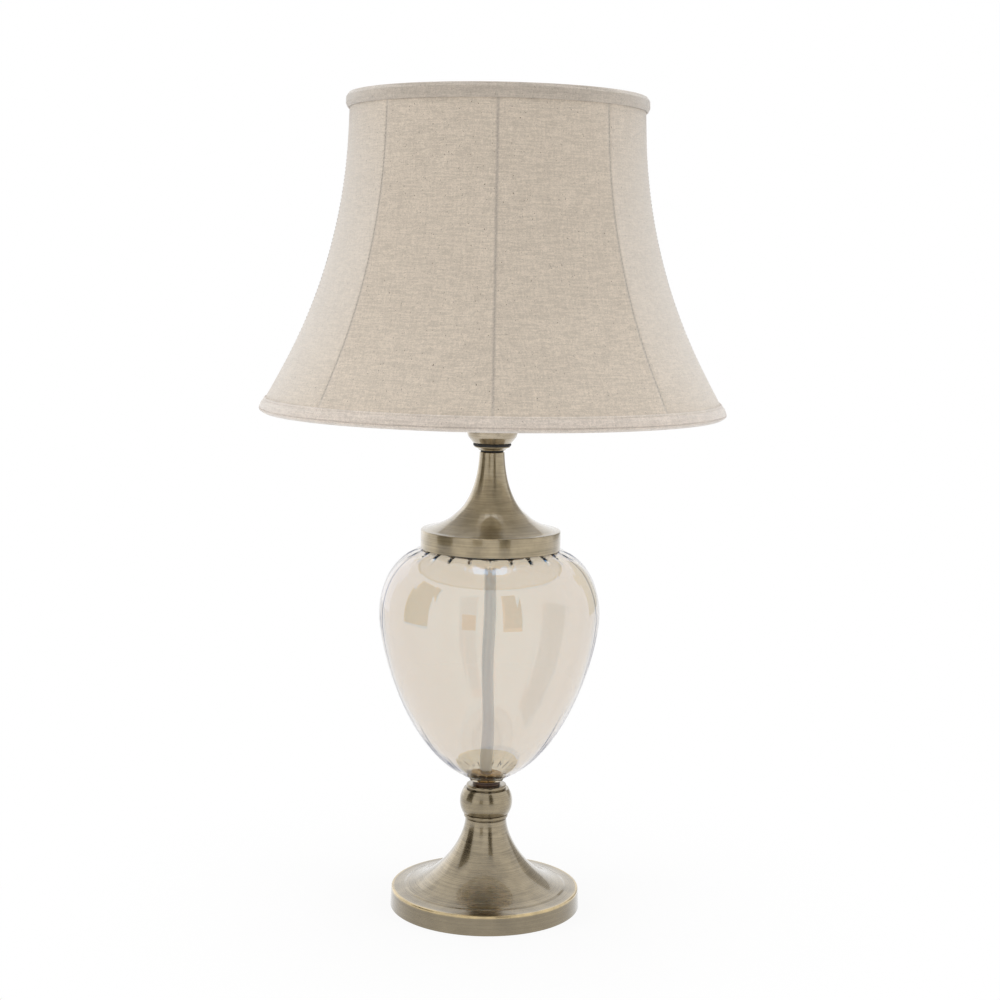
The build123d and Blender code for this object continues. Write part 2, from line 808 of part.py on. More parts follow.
with BuildPart() as shade_retaining_ring:
    add(gripped_ring(retaining_ring_z, False))
shade_retaining_ring.part.label = "shade_retaining_ring"
export_step(shade_retaining_ring.part, "parts/shade_retaining_ring.step")

# ================================================================ bulb
cap_foot_z = bulb_z + bulb_contact_t
cap_shell_z = cap_foot_z + bulb_insulator_h
bulb_glass_z = cap_shell_z + bulb_cap_h
bulb_top_z = bulb_z + bulb_length
bulb_centre_z = bulb_top_z - bulb_d / 2

with BuildPart() as bulb_contact:
    with BuildSketch(Plane.XY.offset(bulb_z)):
        Circle(bulb_contact_d / 2)
    extrude(amount=bulb_contact_t)
    chamfer(bulb_contact.edges().group_by(Axis.Z)[0], bulb_contact_t / 2)
bulb_contact.part.label = "bulb_contact"
export_step(bulb_contact.part, "parts/bulb_contact.step")

with BuildPart() as bulb_insulator:
    revolve(
        lathe(
            (0, cap_foot_z),
            (bulb_contact_d / 2 + tube_play, cap_foot_z),
            (bulb_insulator_top_d / 2, cap_shell_z),
            (0, cap_shell_z),
        )
    )
bulb_insulator.part.label = "bulb_insulator"
export_step(bulb_insulator.part, "parts/bulb_insulator.step")

with BuildPart() as bulb_cap:
    cap_r = bulb_cap_d / 2
    skirt_r = bulb_cap_skirt_d / 2
    revolve(
        lathe(
            (0, cap_shell_z),
            (bulb_insulator_top_d / 2, cap_shell_z),
            (cap_r, cap_shell_z + cap_r - bulb_insulator_top_d / 2),
            (cap_r, bulb_glass_z - bulb_contact_t),
            (skirt_r, bulb_glass_z),
            (0, bulb_glass_z),
        )
    )
bulb_cap.part.label = "bulb_cap"
export_step(bulb_cap.part, "parts/bulb_cap.step")

with BuildPart() as bulb_globe:
    with BuildSketch(Plane.XZ):
        with BuildLine():
            neck_foot = (bulb_neck_d / 2, bulb_glass_z)
            lean = radians(bulb_neck_lean)
            globe_r = bulb_d / 2
            tangent_r = globe_r * cos(lean)
            tangent_z = bulb_centre_z - globe_r * sin(lean)
            neck = Spline(neck_foot, (tangent_r, tangent_z), tangents=((0, 1), (sin(lean), cos(lean))))
            crown = ThreePointArc(neck @ 1, (globe_r, bulb_centre_z), (0, bulb_top_z))
            Line((bulb_neck_d / 2 - bulb_glass_wall, bulb_glass_z), neck_foot)
            inner_neck = Spline(
                (bulb_neck_d / 2 - bulb_glass_wall, bulb_glass_z),
                (tangent_r - bulb_glass_wall * cos(lean), tangent_z + bulb_glass_wall * sin(lean)),
                tangents=((0, 1), (sin(lean), cos(lean))),
            )
            inner_r = globe_r - bulb_glass_wall
            inner_top = (0, bulb_top_z - bulb_glass_wall)
            ThreePointArc(inner_neck @ 1, (inner_r, bulb_centre_z), inner_top)
            Line(inner_top, (0, bulb_top_z))
        make_face()
    revolve()
bulb_globe.part.label = "bulb_globe"
export_step(bulb_globe.part, "parts/bulb_globe.step")

# ================================================================ shade frame
# The bell is two straight runs joined by one bend. The runs meet here:
hem_r = shade_hem_d / 2
crown_r = shade_top_d / 2
lean_rate = tan(radians(shade_top_lean))
flare_rate = tan(radians(shade_flare))
spread = hem_r - crown_r
knee_drop = (flare_rate * shade_cloth_h - spread) / (flare_rate - lean_rate)
knee_z = shade_top_z - knee_drop
knee_r = crown_r + knee_drop * lean_rate
half_bend = radians(shade_flare - shade_top_lean) / 2
upper_run = knee_drop / cos(radians(shade_top_lean))
lower_run = (shade_cloth_h - knee_drop) / cos(radians(shade_flare))
bend_r = min(bell_bend_r, bell_bend_share * min(upper_run, lower_run) / tan(half_bend))
bend_run = bend_r * tan(half_bend)
bend_top_z = knee_z + bend_run * cos(radians(shade_top_lean))
bend_low_z = knee_z - bend_run * cos(radians(shade_flare))
bend_centre_z = bend_top_z + bend_r * sin(radians(shade_top_lean))
bend_centre_r = crown_r + (shade_top_z - bend_top_z) * lean_rate + bend_r * cos(radians(shade_top_lean))


def bell_r(height):
    """The radius of the cloth's outer face at a strut."""
    if height >= bend_top_z:
        return crown_r + (shade_top_z - height) * lean_rate
    if height <= bend_low_z:
        return hem_r - (height - shade_hem_z) * flare_rate
    return bend_centre_r - (bend_r**2 - (bend_centre_z - height) ** 2) ** 0.5


top_ring_r = bell_r(top_ring_z) - fabric_t - seat_gap - ring_wire_d / 2


def wire_hoop(radius, height):
    """A round hoop of wire."""
    with BuildSketch(Plane.XZ) as wire:
        with Locations((radius, height)):
            RegularPolygon(ring_wire_d / 2, wire_sides)
    with BuildPart() as hoop:
        revolve(wire.sketch)
    return hoop.part


with BuildPart() as shade_bottom_ring:
    add(wire_hoop(bottom_ring_r, bottom_ring_z))
shade_bottom_ring.part.label = "shade_bottom_ring"
export_step(shade_bottom_ring.part, "parts/shade_bottom_ring.step")

with BuildPart() as shade_top_ring:
    add(wire_hoop(top_ring_r, top_ring_z))
shade_top_ring.part.label = "shade_top_ring"
export_step(shade_top_ring.part, "parts/shade_top_ring.step")

with BuildPart() as strut:
    strut_dip = strut_d / 2 * sin(radians(shade_flare))
    strut_top_z = top_ring_z - ring_wire_d / 2 - weld_gap
    strut_low_z = bottom_ring_z + ring_wire_d / 2 + weld_gap + strut_dip
    with BuildLine(Plane.XZ) as strut_line:
        FilletPolyline(
            (bell_r(strut_top_z) - strut_inset, strut_top_z),
            (knee_r - strut_inset, knee_z),
            (bell_r(strut_low_z) - strut_inset, strut_low_z),
            radius=bend_r,
        )
    with BuildSketch(Plane(strut_line.line @ 0, z_dir=strut_line.line % 0)):
        RegularPolygon(strut_d / 2, wire_sides)
    sweep()

with BuildPart() as shade_struts:
    with PolarLocations(0, strut_count, start_angle=-90):
        add(strut.part)
shade_struts.part.label = "shade_struts"
export_step(shade_struts.part, "parts/shade_struts.step")

with BuildPart() as arm:
    arm_z = fitter_z + fitter_t / 2
    arm_end_r = bottom_ring_r - ring_wire_d / 2 - weld_gap
    with BuildLine(Plane.XZ) as arm_line:
        FilletPolyline(
            (fitter_d / 2 - fitter_weld, arm_z),
            (fitter_d / 2 + arm_level_run, arm_z),
            (arm_end_r - arm_level_run, bottom_ring_z),
            (arm_end_r, bottom_ring_z),
            radius=arm_bend_r,
        )
    with BuildSketch(Plane(arm_line.line @ 0, z_dir=arm_line.line % 0)):
        RegularPolygon(arm_d / 2, wire_sides)
    sweep()

with BuildPart() as shade_fitter:
    revolve(sleeve(fitter_bore_d / 2, fitter_d / 2, fitter_z, fitter_z + fitter_t))
    with PolarLocations(0, arm_count, start_angle=-90):
        add(arm.part)
shade_fitter.part.label = "shade_fitter"
export_step(shade_fitter.part, "parts/shade_fitter.step")


# ================================================================ shade cover
def panelled_wire(radius, height, flatness):
    """One round of the cover: it is on the struts at its corners and a little flat between."""
    step = 2 * pi / strut_count
    middle_r = radius * (1 - flatness * (1 - cos(step / 2)))
    with BuildSketch(Plane.XY.offset(height)) as round_of_panels:
        with BuildLine():
            for k in range(strut_count):
                start = k * step - pi / 2
                ThreePointArc(
                    (radius * cos(start), radius * sin(start)),
                    (middle_r * cos(start + step / 2), middle_r * sin(start + step / 2)),
                    (radius * cos(start + step), radius * sin(start + step)),
                )
        make_face()
    return round_of_panels.sketch


def bell_rounds(inset, low_z, high_z):
    """The rounds of a bell-shaped cover that lies this far inside the outer face."""
    cover_stations = 9
    found = []
    for k in range(cover_stations + 1):
        height = low_z + (high_z - low_z) * k / cover_stations
        along = (height - shade_hem_z) / shade_cloth_h
        flatness = panel_flatness * max(0.0, sin(pi * min(along, 1.0)))
        found.append(panelled_wire(bell_r(height) - inset, height, flatness))
    return found


with BuildPart() as shade_fabric:
    loft(bell_rounds(0.0, shade_hem_z, shade_top_z))
    loft(bell_rounds(fabric_t, shade_hem_z, shade_top_z), mode=Mode.SUBTRACT)
shade_fabric.part.label = "shade_fabric"
export_step(shade_fabric.part, "parts/shade_fabric.step")

with BuildPart() as shade_lining:
    lining_z = shade_hem_z + lining_lift
    loft(bell_rounds(lining_inset, lining_z, shade_top_z))
    loft(bell_rounds(lining_inset + lining_t, lining_z, shade_top_z), mode=Mode.SUBTRACT)
shade_lining.part.label = "shade_lining"
export_step(shade_lining.part, "parts/shade_lining.step")

with BuildPart() as shade_bottom_trim:
    # A bound edge: a padded band outside, a crease, and a roll that turns in under the wire.
    web_top_z = bottom_ring_z - ring_wire_d / 2 - seat_gap
    web_z = web_top_z - bottom_trim_web
    band_top_z = web_z + bottom_trim_h
    crease_z = web_z + bottom_trim_roll_h
    band_mid_z = (band_top_z + crease_z) / 2
    hem_in = hem_r + trim_gap
    top_in = bell_r(band_top_z) + trim_gap
    crease_out = hem_in + bottom_trim_bulge / 2
    wire_in = bottom_ring_r - ring_wire_d / 2
    wire_out = bottom_ring_r + ring_wire_d / 2 + seat_gap
    revolve(
        lathe(
            (top_in, band_top_z),
            (top_in + bottom_trim_top_out, band_top_z),
            (bell_r(band_mid_z) + bottom_trim_bulge, band_mid_z),
            (crease_out, crease_z),
            (crease_out, (web_z + crease_z) / 2),
            (hem_in - bottom_trim_top_out, web_z),
            (wire_in, web_z),
            (wire_in, web_top_z),
            (wire_out, web_top_z),
            (hem_in, shade_hem_z - seat_gap),
        )
    )
shade_bottom_trim.part.label = "shade_bottom_trim"
export_step(shade_bottom_trim.part, "parts/shade_bottom_trim.step")

with BuildPart() as shade_top_trim:
    trim_under_z = shade_top_z + trim_gap
    trim_top_z = trim_under_z + top_trim_web
    trim_low_z = trim_top_z - top_trim_h
    low_in = bell_r(trim_low_z) + trim_gap
    crown_in = crown_r + trim_gap
    revolve(
        lathe(
            (low_in, trim_low_z),
            (low_in + top_trim_edge, trim_low_z),
            (low_in + top_trim_bulge, trim_low_z + top_trim_slope_h),
            (crown_in + top_trim_bulge, trim_top_z - top_trim_slope_h),
            (crown_in + top_trim_edge, trim_top_z),
            (crown_r - lining_inset, trim_top_z),
            (crown_r - lining_inset, trim_under_z),
            (crown_in, trim_under_z),
        )
    )
shade_top_trim.part.label = "shade_top_trim"
export_step(shade_top_trim.part, "parts/shade_top_trim.step")
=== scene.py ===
# %% [markdown]
# # A candlestick table lamp
# The lamp is a stack of turned pieces on one tube: a heavy foot, a ball, a fluted glass vessel,
# a spun cap and a lampholder, with a bell shade of linen over it. The solid model gives every
# piece its place and size. This file dresses them: it rebuilds what shows with round edges,
# threads, flutes and cloth, and gives each piece its finish.
#
# The frame comes first. It is never moved, and each new piece is measured from it.

# %% Load the frame
import math

import bmesh
import bpy
from mathutils import Matrix, Vector


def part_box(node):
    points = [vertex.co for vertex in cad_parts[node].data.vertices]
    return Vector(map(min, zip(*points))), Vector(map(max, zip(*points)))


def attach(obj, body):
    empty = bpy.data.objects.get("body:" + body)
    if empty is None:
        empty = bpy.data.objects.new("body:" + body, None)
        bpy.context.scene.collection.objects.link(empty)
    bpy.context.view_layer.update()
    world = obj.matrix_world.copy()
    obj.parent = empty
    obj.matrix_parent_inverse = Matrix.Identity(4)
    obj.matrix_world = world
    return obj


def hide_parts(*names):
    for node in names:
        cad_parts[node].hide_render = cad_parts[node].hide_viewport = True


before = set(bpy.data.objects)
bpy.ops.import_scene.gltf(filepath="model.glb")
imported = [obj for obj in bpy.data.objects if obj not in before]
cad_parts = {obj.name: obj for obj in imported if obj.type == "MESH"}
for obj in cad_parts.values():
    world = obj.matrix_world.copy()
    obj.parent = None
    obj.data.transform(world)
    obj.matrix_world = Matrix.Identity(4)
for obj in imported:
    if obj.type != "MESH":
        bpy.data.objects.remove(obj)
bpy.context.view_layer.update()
MM = 0.001
TURN = 2 * math.pi

# %% [markdown]
# ## The camera
# The view is a plain product view: the lens stands a little below the middle of the shade and
# looks slightly down. A long lens keeps the ellipses of the foot and the shade shallow. The
# angles below were found by fitting the ellipses of the foot, the cap and the shade.

# %% The camera
def put(name, data):
    """A new object in the scene, made of this data."""
    thing = bpy.data.objects.new(name, data)
    bpy.context.scene.collection.objects.link(thing)
    return thing


camera_back = 1511 * MM
camera_height = 538 * MM
camera_pitch = math.radians(7.14)
camera_yaw = math.radians(0.276)
camera_roll = math.radians(1.03)
frame_width_px = 1000
focal_px = 1826

camera_data = bpy.data.cameras.new("camera")
camera_data.sensor_width = 36
camera_data.lens = camera_data.sensor_width * focal_px / frame_width_px
camera_data.clip_end = 50
camera = put("camera", camera_data)
camera.matrix_world = (
    Matrix.Translation((0, -camera_back, camera_height))
    @ Matrix.Rotation(-camera_yaw, 4, "Z")
    @ Matrix.Rotation(math.pi / 2 - camera_pitch, 4, "X")
    @ Matrix.Rotation(camera_roll, 4, "Z")
)
bpy.context.scene.camera = camera
bpy.context.scene.view_settings.view_transform = "Standard"
print("lens", round(camera_data.lens, 1), "mm")

# %% [markdown]
# ## Shader sums in plain Python
# A finish is mostly arithmetic: a mask here, a stripe there, a colour mixed by both. Wiring Math
# nodes by hand hides that, so one small class wraps a socket and lets Python's own operators add
# the nodes. Any other kind of node comes from one method of the sheet that the nodes lie on. A
# finish is such a sheet, and so is the world.

# %% Sockets
def tint(red, green, blue):
    """A colour as a paint chart gives it, 0 to 255, turned into the light values of a shader."""
    scaled = [channel / 255 for channel in (red, green, blue)]
    light = [c / 12.92 if c <= 0.04045 else ((c + 0.055) / 1.055) ** 2.4 for c in scaled]
    return (*light, 1.0)


def times(colour, factor):
    return (*(min(1.0, channel * factor) for channel in colour[:3]), 1.0)


def sum_of(operation, swapped=False):
    """A method that adds one Math node."""

    def method(socket, *others):
        values = (*others, socket) if swapped else (socket, *others)
        return socket.sheet.add("Math", {"operation": operation}, dict(enumerate(values)))

    return method


class Socket:
    """An output socket that takes part in sums."""

    def __init__(self, sheet, output):
        self.sheet = sheet
        self.output = output

    __add__ = sum_of("ADD")
    __radd__ = sum_of("ADD", swapped=True)
    __sub__ = sum_of("SUBTRACT")
    __rsub__ = sum_of("SUBTRACT", swapped=True)
    __mul__ = sum_of("MULTIPLY")
    __pow__ = sum_of("POWER")
    lesser = sum_of("MINIMUM")
    arctan2 = sum_of("ARCTAN2")
    sin = sum_of("SINE")
    size = sum_of("ABSOLUTE")
    fraction = sum_of("FRACT")
    whole = sum_of("FLOOR")

    def step(self, low, high):
        """0 below low, 1 above high, and a smooth rise between them."""
        settings = {"interpolation_type": "SMOOTHSTEP"}
        return self.sheet.add("MapRange", settings, {0: self, 1: low, 2: high, 3: 0.0, 4: 1.0})


print("white is", tint(255, 255, 255))

# %% Sheets of nodes
class NodeSheet:
    """A sheet of nodes, of a material or of the world, that expressions add to."""

    def __init__(self, owner):
        owner.use_nodes = True
        self.nodes = owner.node_tree.nodes
        self.links = owner.node_tree.links

    def join(self, value, socket):
        if isinstance(value, Socket):
            self.links.new(value.output, socket)
        else:
            socket.default_value = value

    def add(self, kind, settings=None, inputs=None, output=0):
        node = self.nodes.new("ShaderNode" + kind)
        for key, value in (settings or {}).items():
            setattr(node, key, value)
        for key, value in (inputs or {}).items():
            self.join(value, node.inputs[key])
        return Socket(self, node.outputs[output])

    def mirrored(self):
        """1 for a ray from the camera, or one that a shine or a glass sends on, otherwise 0."""
        rays = self.add("LightPath").output.node.outputs
        kinds = ("Is Camera Ray", "Is Glossy Ray", "Is Transmission Ray")
        camera_ray, glossy_ray, glass_ray = [Socket(self, rays[kind]) for kind in kinds]
        return (camera_ray + glossy_ray + glass_ray).lesser(1.0)


print("sheets of nodes ready")

# %% Finishes
class Finish(NodeSheet):
    """One material. Its constants go on the shader's own sockets."""

    def __init__(self, name, **constants):
        self.material = bpy.data.materials.new(name)
        super().__init__(self.material)
        self.surface = self.nodes["Principled BSDF"]
        for key, value in constants.items():
            socket = key.replace("_", " ").title().replace("Ior", "IOR")
            self.surface.inputs[socket].default_value = value

    def place(self):
        """The point on the object, in metres, and its three parts."""
        point = self.add("TexCoord", output="Object")
        split = self.add("SeparateXYZ", None, {0: point})
        x, y, z = [Socket(self, out) for out in split.output.node.outputs]
        return point, x, y, z

    def lathe_place(self):
        """The point, its distance from the axis, its turn about it, and its height."""
        point, x, y, z = self.place()
        return point, (x * x + y * y) ** 0.5, y.arctan2(x), z

    def vector(self, x, y, z):
        return self.add("CombineXYZ", None, {0: x, 1: y, 2: z})

    def noise(self, vector, scale, detail=2.0, roughness=0.5):
        inputs = {"Vector": vector, "Scale": scale, "Detail": detail, "Roughness": roughness}
        return self.add("TexNoise", None, inputs)

    def mix(self, first, second, amount):
        return self.add("Mix", {"data_type": "RGBA"}, {0: amount, 6: first, 7: second}, output=2)

    def colour(self, value):
        self.join(value, self.surface.inputs["Base Color"])

    def rough(self, value):
        self.join(value, self.surface.inputs["Roughness"])

    def bump(self, height, depth):
        """Raises the surface by height, 0 to 1, times depth in metres."""
        inputs = {"Strength": 1.0, "Distance": depth, "Height": height}
        self.join(self.add("Bump", None, inputs), self.surface.inputs["Normal"])


print("finishes ready")

# %% [markdown]
# ## Antique brass, turned and lacquered
# The foot, ball, cap and rings are brass, darkened and then brushed while they turn on a lathe.
# The brush leaves hair lines that run round the piece, so the finish is drawn in the lathe's own
# terms: distance from the axis, height, and the turn about it. Three widths of line, all very
# long around, give the brushed look. Such lines spread a highlight across themselves, along the
# axis, so the highlight is stretched and given a quarter turn. A clear lacquer lies over it all,
# and where the metal is seen at a low angle the lacquer wins: it shows the white room and turns
# the brass pale grey. Where hands and cloths rub an edge, the dark colour wears off and the gold
# shows; that gold band is also a painted highlight, for the bright line such an edge catches.
# A low band can be painted darker: that is painted shade, for the darker reflection it shows.

# %% Brass
worn_gold_and_highlight = tint(214, 190, 140)
brush_lines = 4200
patches = 0.4


def brass(name, dark, light, roughness=0.27, stretch=0.8, worn=None, painted_shade_band=None):
    """worn is the (radius, height) of an edge where the dark colour wears off, a gold band that is
    also a painted highlight. The last argument paints shade: below its first height the metal is
    dark, and it clears up to the second."""
    finish = Finish(
        name, metallic=1.0, anisotropic=stretch, anisotropic_rotation=0.25,
        coat_weight=1.0, coat_roughness=0.07, coat_ior=1.6,
    )
    point, radius, turn, z = finish.lathe_place()

    def brushed(around, scale, detail, sharpness):
        spot = finish.vector(radius, z, turn * around)
        return finish.noise(spot, scale, detail, sharpness)

    fine = brushed(0.0004, brush_lines, 3.0, 0.6)
    hair = brushed(0.0008, brush_lines / 3.4, 2.0, 0.6)
    broad = brushed(0.002, brush_lines / 12, 2.0, 0.5)
    lines = fine * 0.25 + hair * 0.45 + broad * 0.3
    cloud = finish.noise(point, 55, 4.0, 0.6).step(0.35, 0.65)
    shade = lines.step(0.36, 0.64) * (1 - patches) + cloud * patches
    # Painted shade: below the band the metal is darkened, standing in for the darker reflection
    # there.
    if painted_shade_band:
        shade = shade * (0.35 + z.step(*painted_shade_band) * 0.65)
    metal = finish.mix(tint(*dark), tint(*light), shade)
    # Partly painted highlight: the gold band at the worn edge is wear and also a painted edge
    # highlight.
    if worn:
        off_edge = ((radius - worn[0]) ** 2 + (z - worn[1]) ** 2) ** 0.5
        rubbed_and_highlit = 1 - off_edge.step(0.9 * MM, 2.4 * MM)
        metal = finish.mix(metal, worn_gold_and_highlight, rubbed_and_highlit * (0.55 + cloud * 0.45))
    finish.colour(metal)
    finish.rough(roughness + (lines - 0.5) * 0.14)
    finish.bump(fine, 0.000008)
    return finish.material


antique_brass = brass("antique_brass", (126, 113, 88), (166, 151, 122))
collar_brass = brass("collar_brass", (112, 98, 73), (150, 135, 105), roughness=0.22)
# Painted light: the cap's and the cup's brass are lighter copies of the antique brass, standing in
# for the brighter reflections those pieces show.
cap_brass_painted_light = brass("cap_brass_painted_light", (137, 124, 97), (182, 165, 133), roughness=0.3)
cup_brass_painted_light = brass("cup_brass_painted_light", (150, 136, 112), (192, 178, 154), roughness=0.24)
bright_brass = brass("bright_brass", (150, 118, 68), (200, 166, 106), 0.2, stretch=0.2)
print("brass finishes made")

# %% [markdown]
# ## Glass
# The vessel is clear glass of a champagne tint with a lustre: a metal-oxide film thinner than a
# wave of light. Such a film sends back more blue than red, so it lays a cool pale veil of the
# white room over the glass, and what comes through is browner for it. The shader's own thin
# film does just that. Its thickness, in nanometres, is three quarters of a wave of blue light
# inside the film. Where the room is dark the veil is missing, and the brown shows through in
# patches. The bulb is plain glass etched inside.

# %% Glass
def glass(name, tone, roughness=0.0, streaks=0.0, film=0.0):
    finish = Finish(
        name, roughness=roughness, ior=1.5, transmission_weight=1.0,
        thin_film_thickness=film, thin_film_ior=1.8,
    )
    point = finish.place()[0]
    tone = tint(*tone)
    paler = (*(channel**0.8 for channel in tone[:3]), 1.0)
    wander = finish.noise(point, 22, 2.0, 0.5)
    finish.colour(finish.mix(tone, paler, wander.step(0.3, 0.7) * 0.3))
    finish.rough(roughness + wander * streaks)
    finish.bump(wander, 0.00005)
    return finish.material


champagne_glass = glass("champagne_glass", (236, 229, 218), film=191)
frosted_glass = glass("frosted_glass", (246, 245, 241), roughness=0.45, streaks=0.08)
print("glass finishes made")

# %% [markdown]
# ## Steel, iron, ceramic and plastic
# These are inside the lamp or under its shade. Each still shows how it was made: drawn tube has
# lines along it, cast iron is grainy, and moulded parts have a faint skin of their own.

# %% Small parts' finishes
def drawn_steel(name, tone, roughness=0.34):
    finish = Finish(name, metallic=1.0)
    point, x, y, z = finish.place()
    lines = finish.noise(finish.vector(x * 1900, y * 1900, z * 30), 1.0, 3.0, 0.6)
    worn = finish.noise(point, 160, 4.0, 0.6)
    tone = tint(*tone)
    finish.colour(finish.mix(times(tone, 0.62), tone, lines * 0.6 + worn * 0.4))
    finish.rough(roughness + (worn - 0.5) * 0.3)
    finish.bump(lines, 0.00002)
    return finish.material


def grainy(name, tone, speck, scale, depth, roughness, metallic=0.0, coat=0.0):
    finish = Finish(name, metallic=metallic, coat_weight=coat, coat_roughness=0.2)
    point = finish.place()[0]
    grain = finish.noise(point, scale, 5.0, 0.65)
    cloud = finish.noise(point, scale / 14, 3.0, 0.5)
    specks = (grain * 0.7 + cloud * 0.3).step(0.4, 0.68)
    finish.colour(finish.mix(tint(*tone), tint(*speck), specks))
    finish.rough(roughness + (grain - 0.5) * 0.25)
    finish.bump(grain, depth)
    return finish.material


zinc_steel = drawn_steel("zinc_steel", (196, 195, 190))
tube_steel = drawn_steel("tube_steel", (251, 252, 253), 0.42)
bulb_shell = drawn_steel("bulb_shell", (212, 212, 210), 0.24)
contact_brass = drawn_steel("contact_brass", (206, 178, 112), 0.28)
solder = grainy("solder", (168, 168, 166), (204, 204, 202), 700, 0.00008, 0.35, metallic=1.0)
cast_iron = grainy("cast_iron", (52, 52, 54), (84, 82, 80), 900, 0.0002, 0.7, metallic=0.6)
phenolic = grainy("phenolic", (17, 16, 16), (34, 32, 31), 1300, 0.00002, 0.36, coat=0.25)
black_plastic = grainy("black_plastic", (22, 22, 23), (40, 40, 41), 1600, 0.00004, 0.5)
black_rubber = grainy("black_rubber", (24, 22, 20), (44, 40, 36), 1800, 0.00003, 0.62)
brown_rubber = grainy("brown_rubber", (58, 36, 20), (92, 62, 36), 900, 0.00003, 0.3, coat=0.4)
white_ceramic = grainy(
    "white_ceramic", (226, 222, 210), (240, 238, 230), 500, 0.00002, 0.22, coat=0.5
)
wire_paint = grainy("wire_paint", (222, 219, 211), (236, 234, 228), 800, 0.00003, 0.38, coat=0.2)
green_felt = grainy("green_felt", (38, 50, 42), (64, 76, 66), 2600, 0.0005, 0.95)
seam_thread = grainy("seam_thread", (160, 152, 144), (188, 180, 170), 2400, 0.00006, 0.9)
print("small parts' finishes made")

# %% [markdown]
# ## Linen
# The shade is oatmeal linen: thick and thin yarns, crossed one over one, with short slubs that
# lie along the weft and a few dark flecks of straw. Each panel was cut flat, so its weft runs
# level and its warp upright in that panel, and both change direction at the seams. The finish
# therefore folds the turn about the axis into one panel and measures across it. The eight seams
# pull the cloth in, and the grey along each of them is painted shade for that pinched line.

# %% Linen
panel_count = 8
panel_turn = TURN / panel_count
yarn_pitch = 0.55 * MM
per_metre = 1 / yarn_pitch


def linen(name, tone, slub_tone, fleck_tone, seam_shade_tone=None, flecks=1.0):
    finish = Finish(name, roughness=0.9, sheen_weight=0.9, sheen_roughness=0.5)
    point, radius, turn, z = finish.lathe_place()
    panel = turn * (panel_count / TURN) + panel_count * 1.25
    off_middle = panel.fraction() - 0.5
    across = radius * (off_middle * panel_turn).sin()
    own = panel.whole() * 4 + 0.5

    def threads(across_scale, up_scale, low, high, detail=2.0, sharpness=0.6):
        """Noise that is drawn out along the threads, in a pattern of the panel's own."""
        spot = finish.vector(across * across_scale, own, z * up_scale)
        return finish.noise(spot, 1.0, detail, sharpness).step(low, high)

    warp = ((across + own) * (math.pi / yarn_pitch)).sin()
    weft = (z * (math.pi / yarn_pitch)).sin()
    over = (warp * weft) * 0.5 + 0.5
    yarns = threads(60, per_metre, 0.3, 0.7) * 0.55 + threads(per_metre, 60, 0.3, 0.7) * 0.45
    thick = threads(700, 130, 0.4, 0.6) * 0.35 + threads(90, 1000, 0.4, 0.6) * 0.65
    grain = threads(1050, 1250, 0.36, 0.64)
    slub = threads(170, 760, 0.56, 0.74, detail=3.0)
    fine_slub = threads(420, 1500, 0.55, 0.75)
    straw = threads(900, 620, 0.73, 0.78, 1.0, 0.5)
    grey_cloud = finish.noise(point, 34, 4.0, 0.6).step(0.35, 0.7)
    tone = tint(*tone)
    mixed = yarns * 0.15 + over * 0.1 + grain * 0.5 + thick * 0.55
    cloth = finish.mix(times(tone, 1.43), tone, mixed)
    greyed = slub * 0.22 + fine_slub * 0.32 + grey_cloud * 0.06
    cloth = finish.mix(cloth, tint(*slub_tone), greyed)
    cloth = finish.mix(cloth, tint(*fleck_tone), straw * flecks)
    # Painted shade: a grey strip along each seam, for the shadow where the seam draws the cloth
    # in.
    if seam_shade_tone:
        off_seam = (off_middle.size() * -1 + 0.5) * (radius * panel_turn)
        seam_shade_mask = 1 - off_seam.step(0.4 * MM, 2.2 * MM)
        cloth = finish.mix(cloth, tint(*seam_shade_tone), seam_shade_mask * 0.4)
    finish.colour(cloth)
    finish.bump(over * 0.35 + grain * 0.3 + yarns * 0.15 + slub * 0.2, 0.00026)
    return finish.material


# The last colour is the seam's painted shade.
oatmeal_linen = linen(
    "oatmeal_linen", (189, 177, 162), (158, 146, 131), (104, 92, 80), (160, 152, 144)
)
binding_linen = linen(
    "binding_linen", (195, 184, 173), (160, 150, 140), (120, 110, 100), flecks=0.6
)
# Painted shade: the top band is a darker copy of the binding linen, for the shade it shows.
top_linen_painted_shade = linen("top_linen_painted_shade", (170, 160, 148), (134, 125, 114), (104, 94, 84), flecks=0.8)
white_lining = linen(
    "white_lining", (238, 235, 229), (222, 218, 210), (200, 195, 186), flecks=0.2
)
print("cloth finishes made")

# %% [markdown]
# ## Turning a piece on the lathe
# Almost every piece of this lamp is round, and a lathe makes it the way a turner does: a
# profile, spun about the axis. Real edges are never sharp, so a corner may carry a rounding, and
# a shape function may push the skin in or out as it goes round, which cuts flutes, grips and
# threads with the same few lines. A corner is written as (radius, height, rounding). Its small
# numbers belong to that corner alone, so they stand where they are used.

# %% Profiles
def rounded(corners, closed=True, steps=4):
    """A path through (radius, height) corners. A third number rounds that corner."""
    path = []
    count = len(corners)
    for i, corner in enumerate(corners):
        here = Vector(corner[:2])
        bend = corner[2] if len(corner) > 2 else 0
        if not bend or (not closed and i in (0, count - 1)):
            path.append(here)
            continue
        back = Vector(corners[i - 1][:2]) - here
        on = Vector(corners[(i + 1) % count][:2]) - here
        reach = bend * math.tan((math.pi - back.angle(on)) / 2)
        reach = min(reach, 0.48 * back.length, 0.48 * on.length)
        start = here + back.normalized() * reach
        end = here + on.normalized() * reach
        for k in range(steps + 1):
            t = k / steps
            path.append((1 - t) ** 2 * start + 2 * t * (1 - t) * here + t * t * end)
    return path


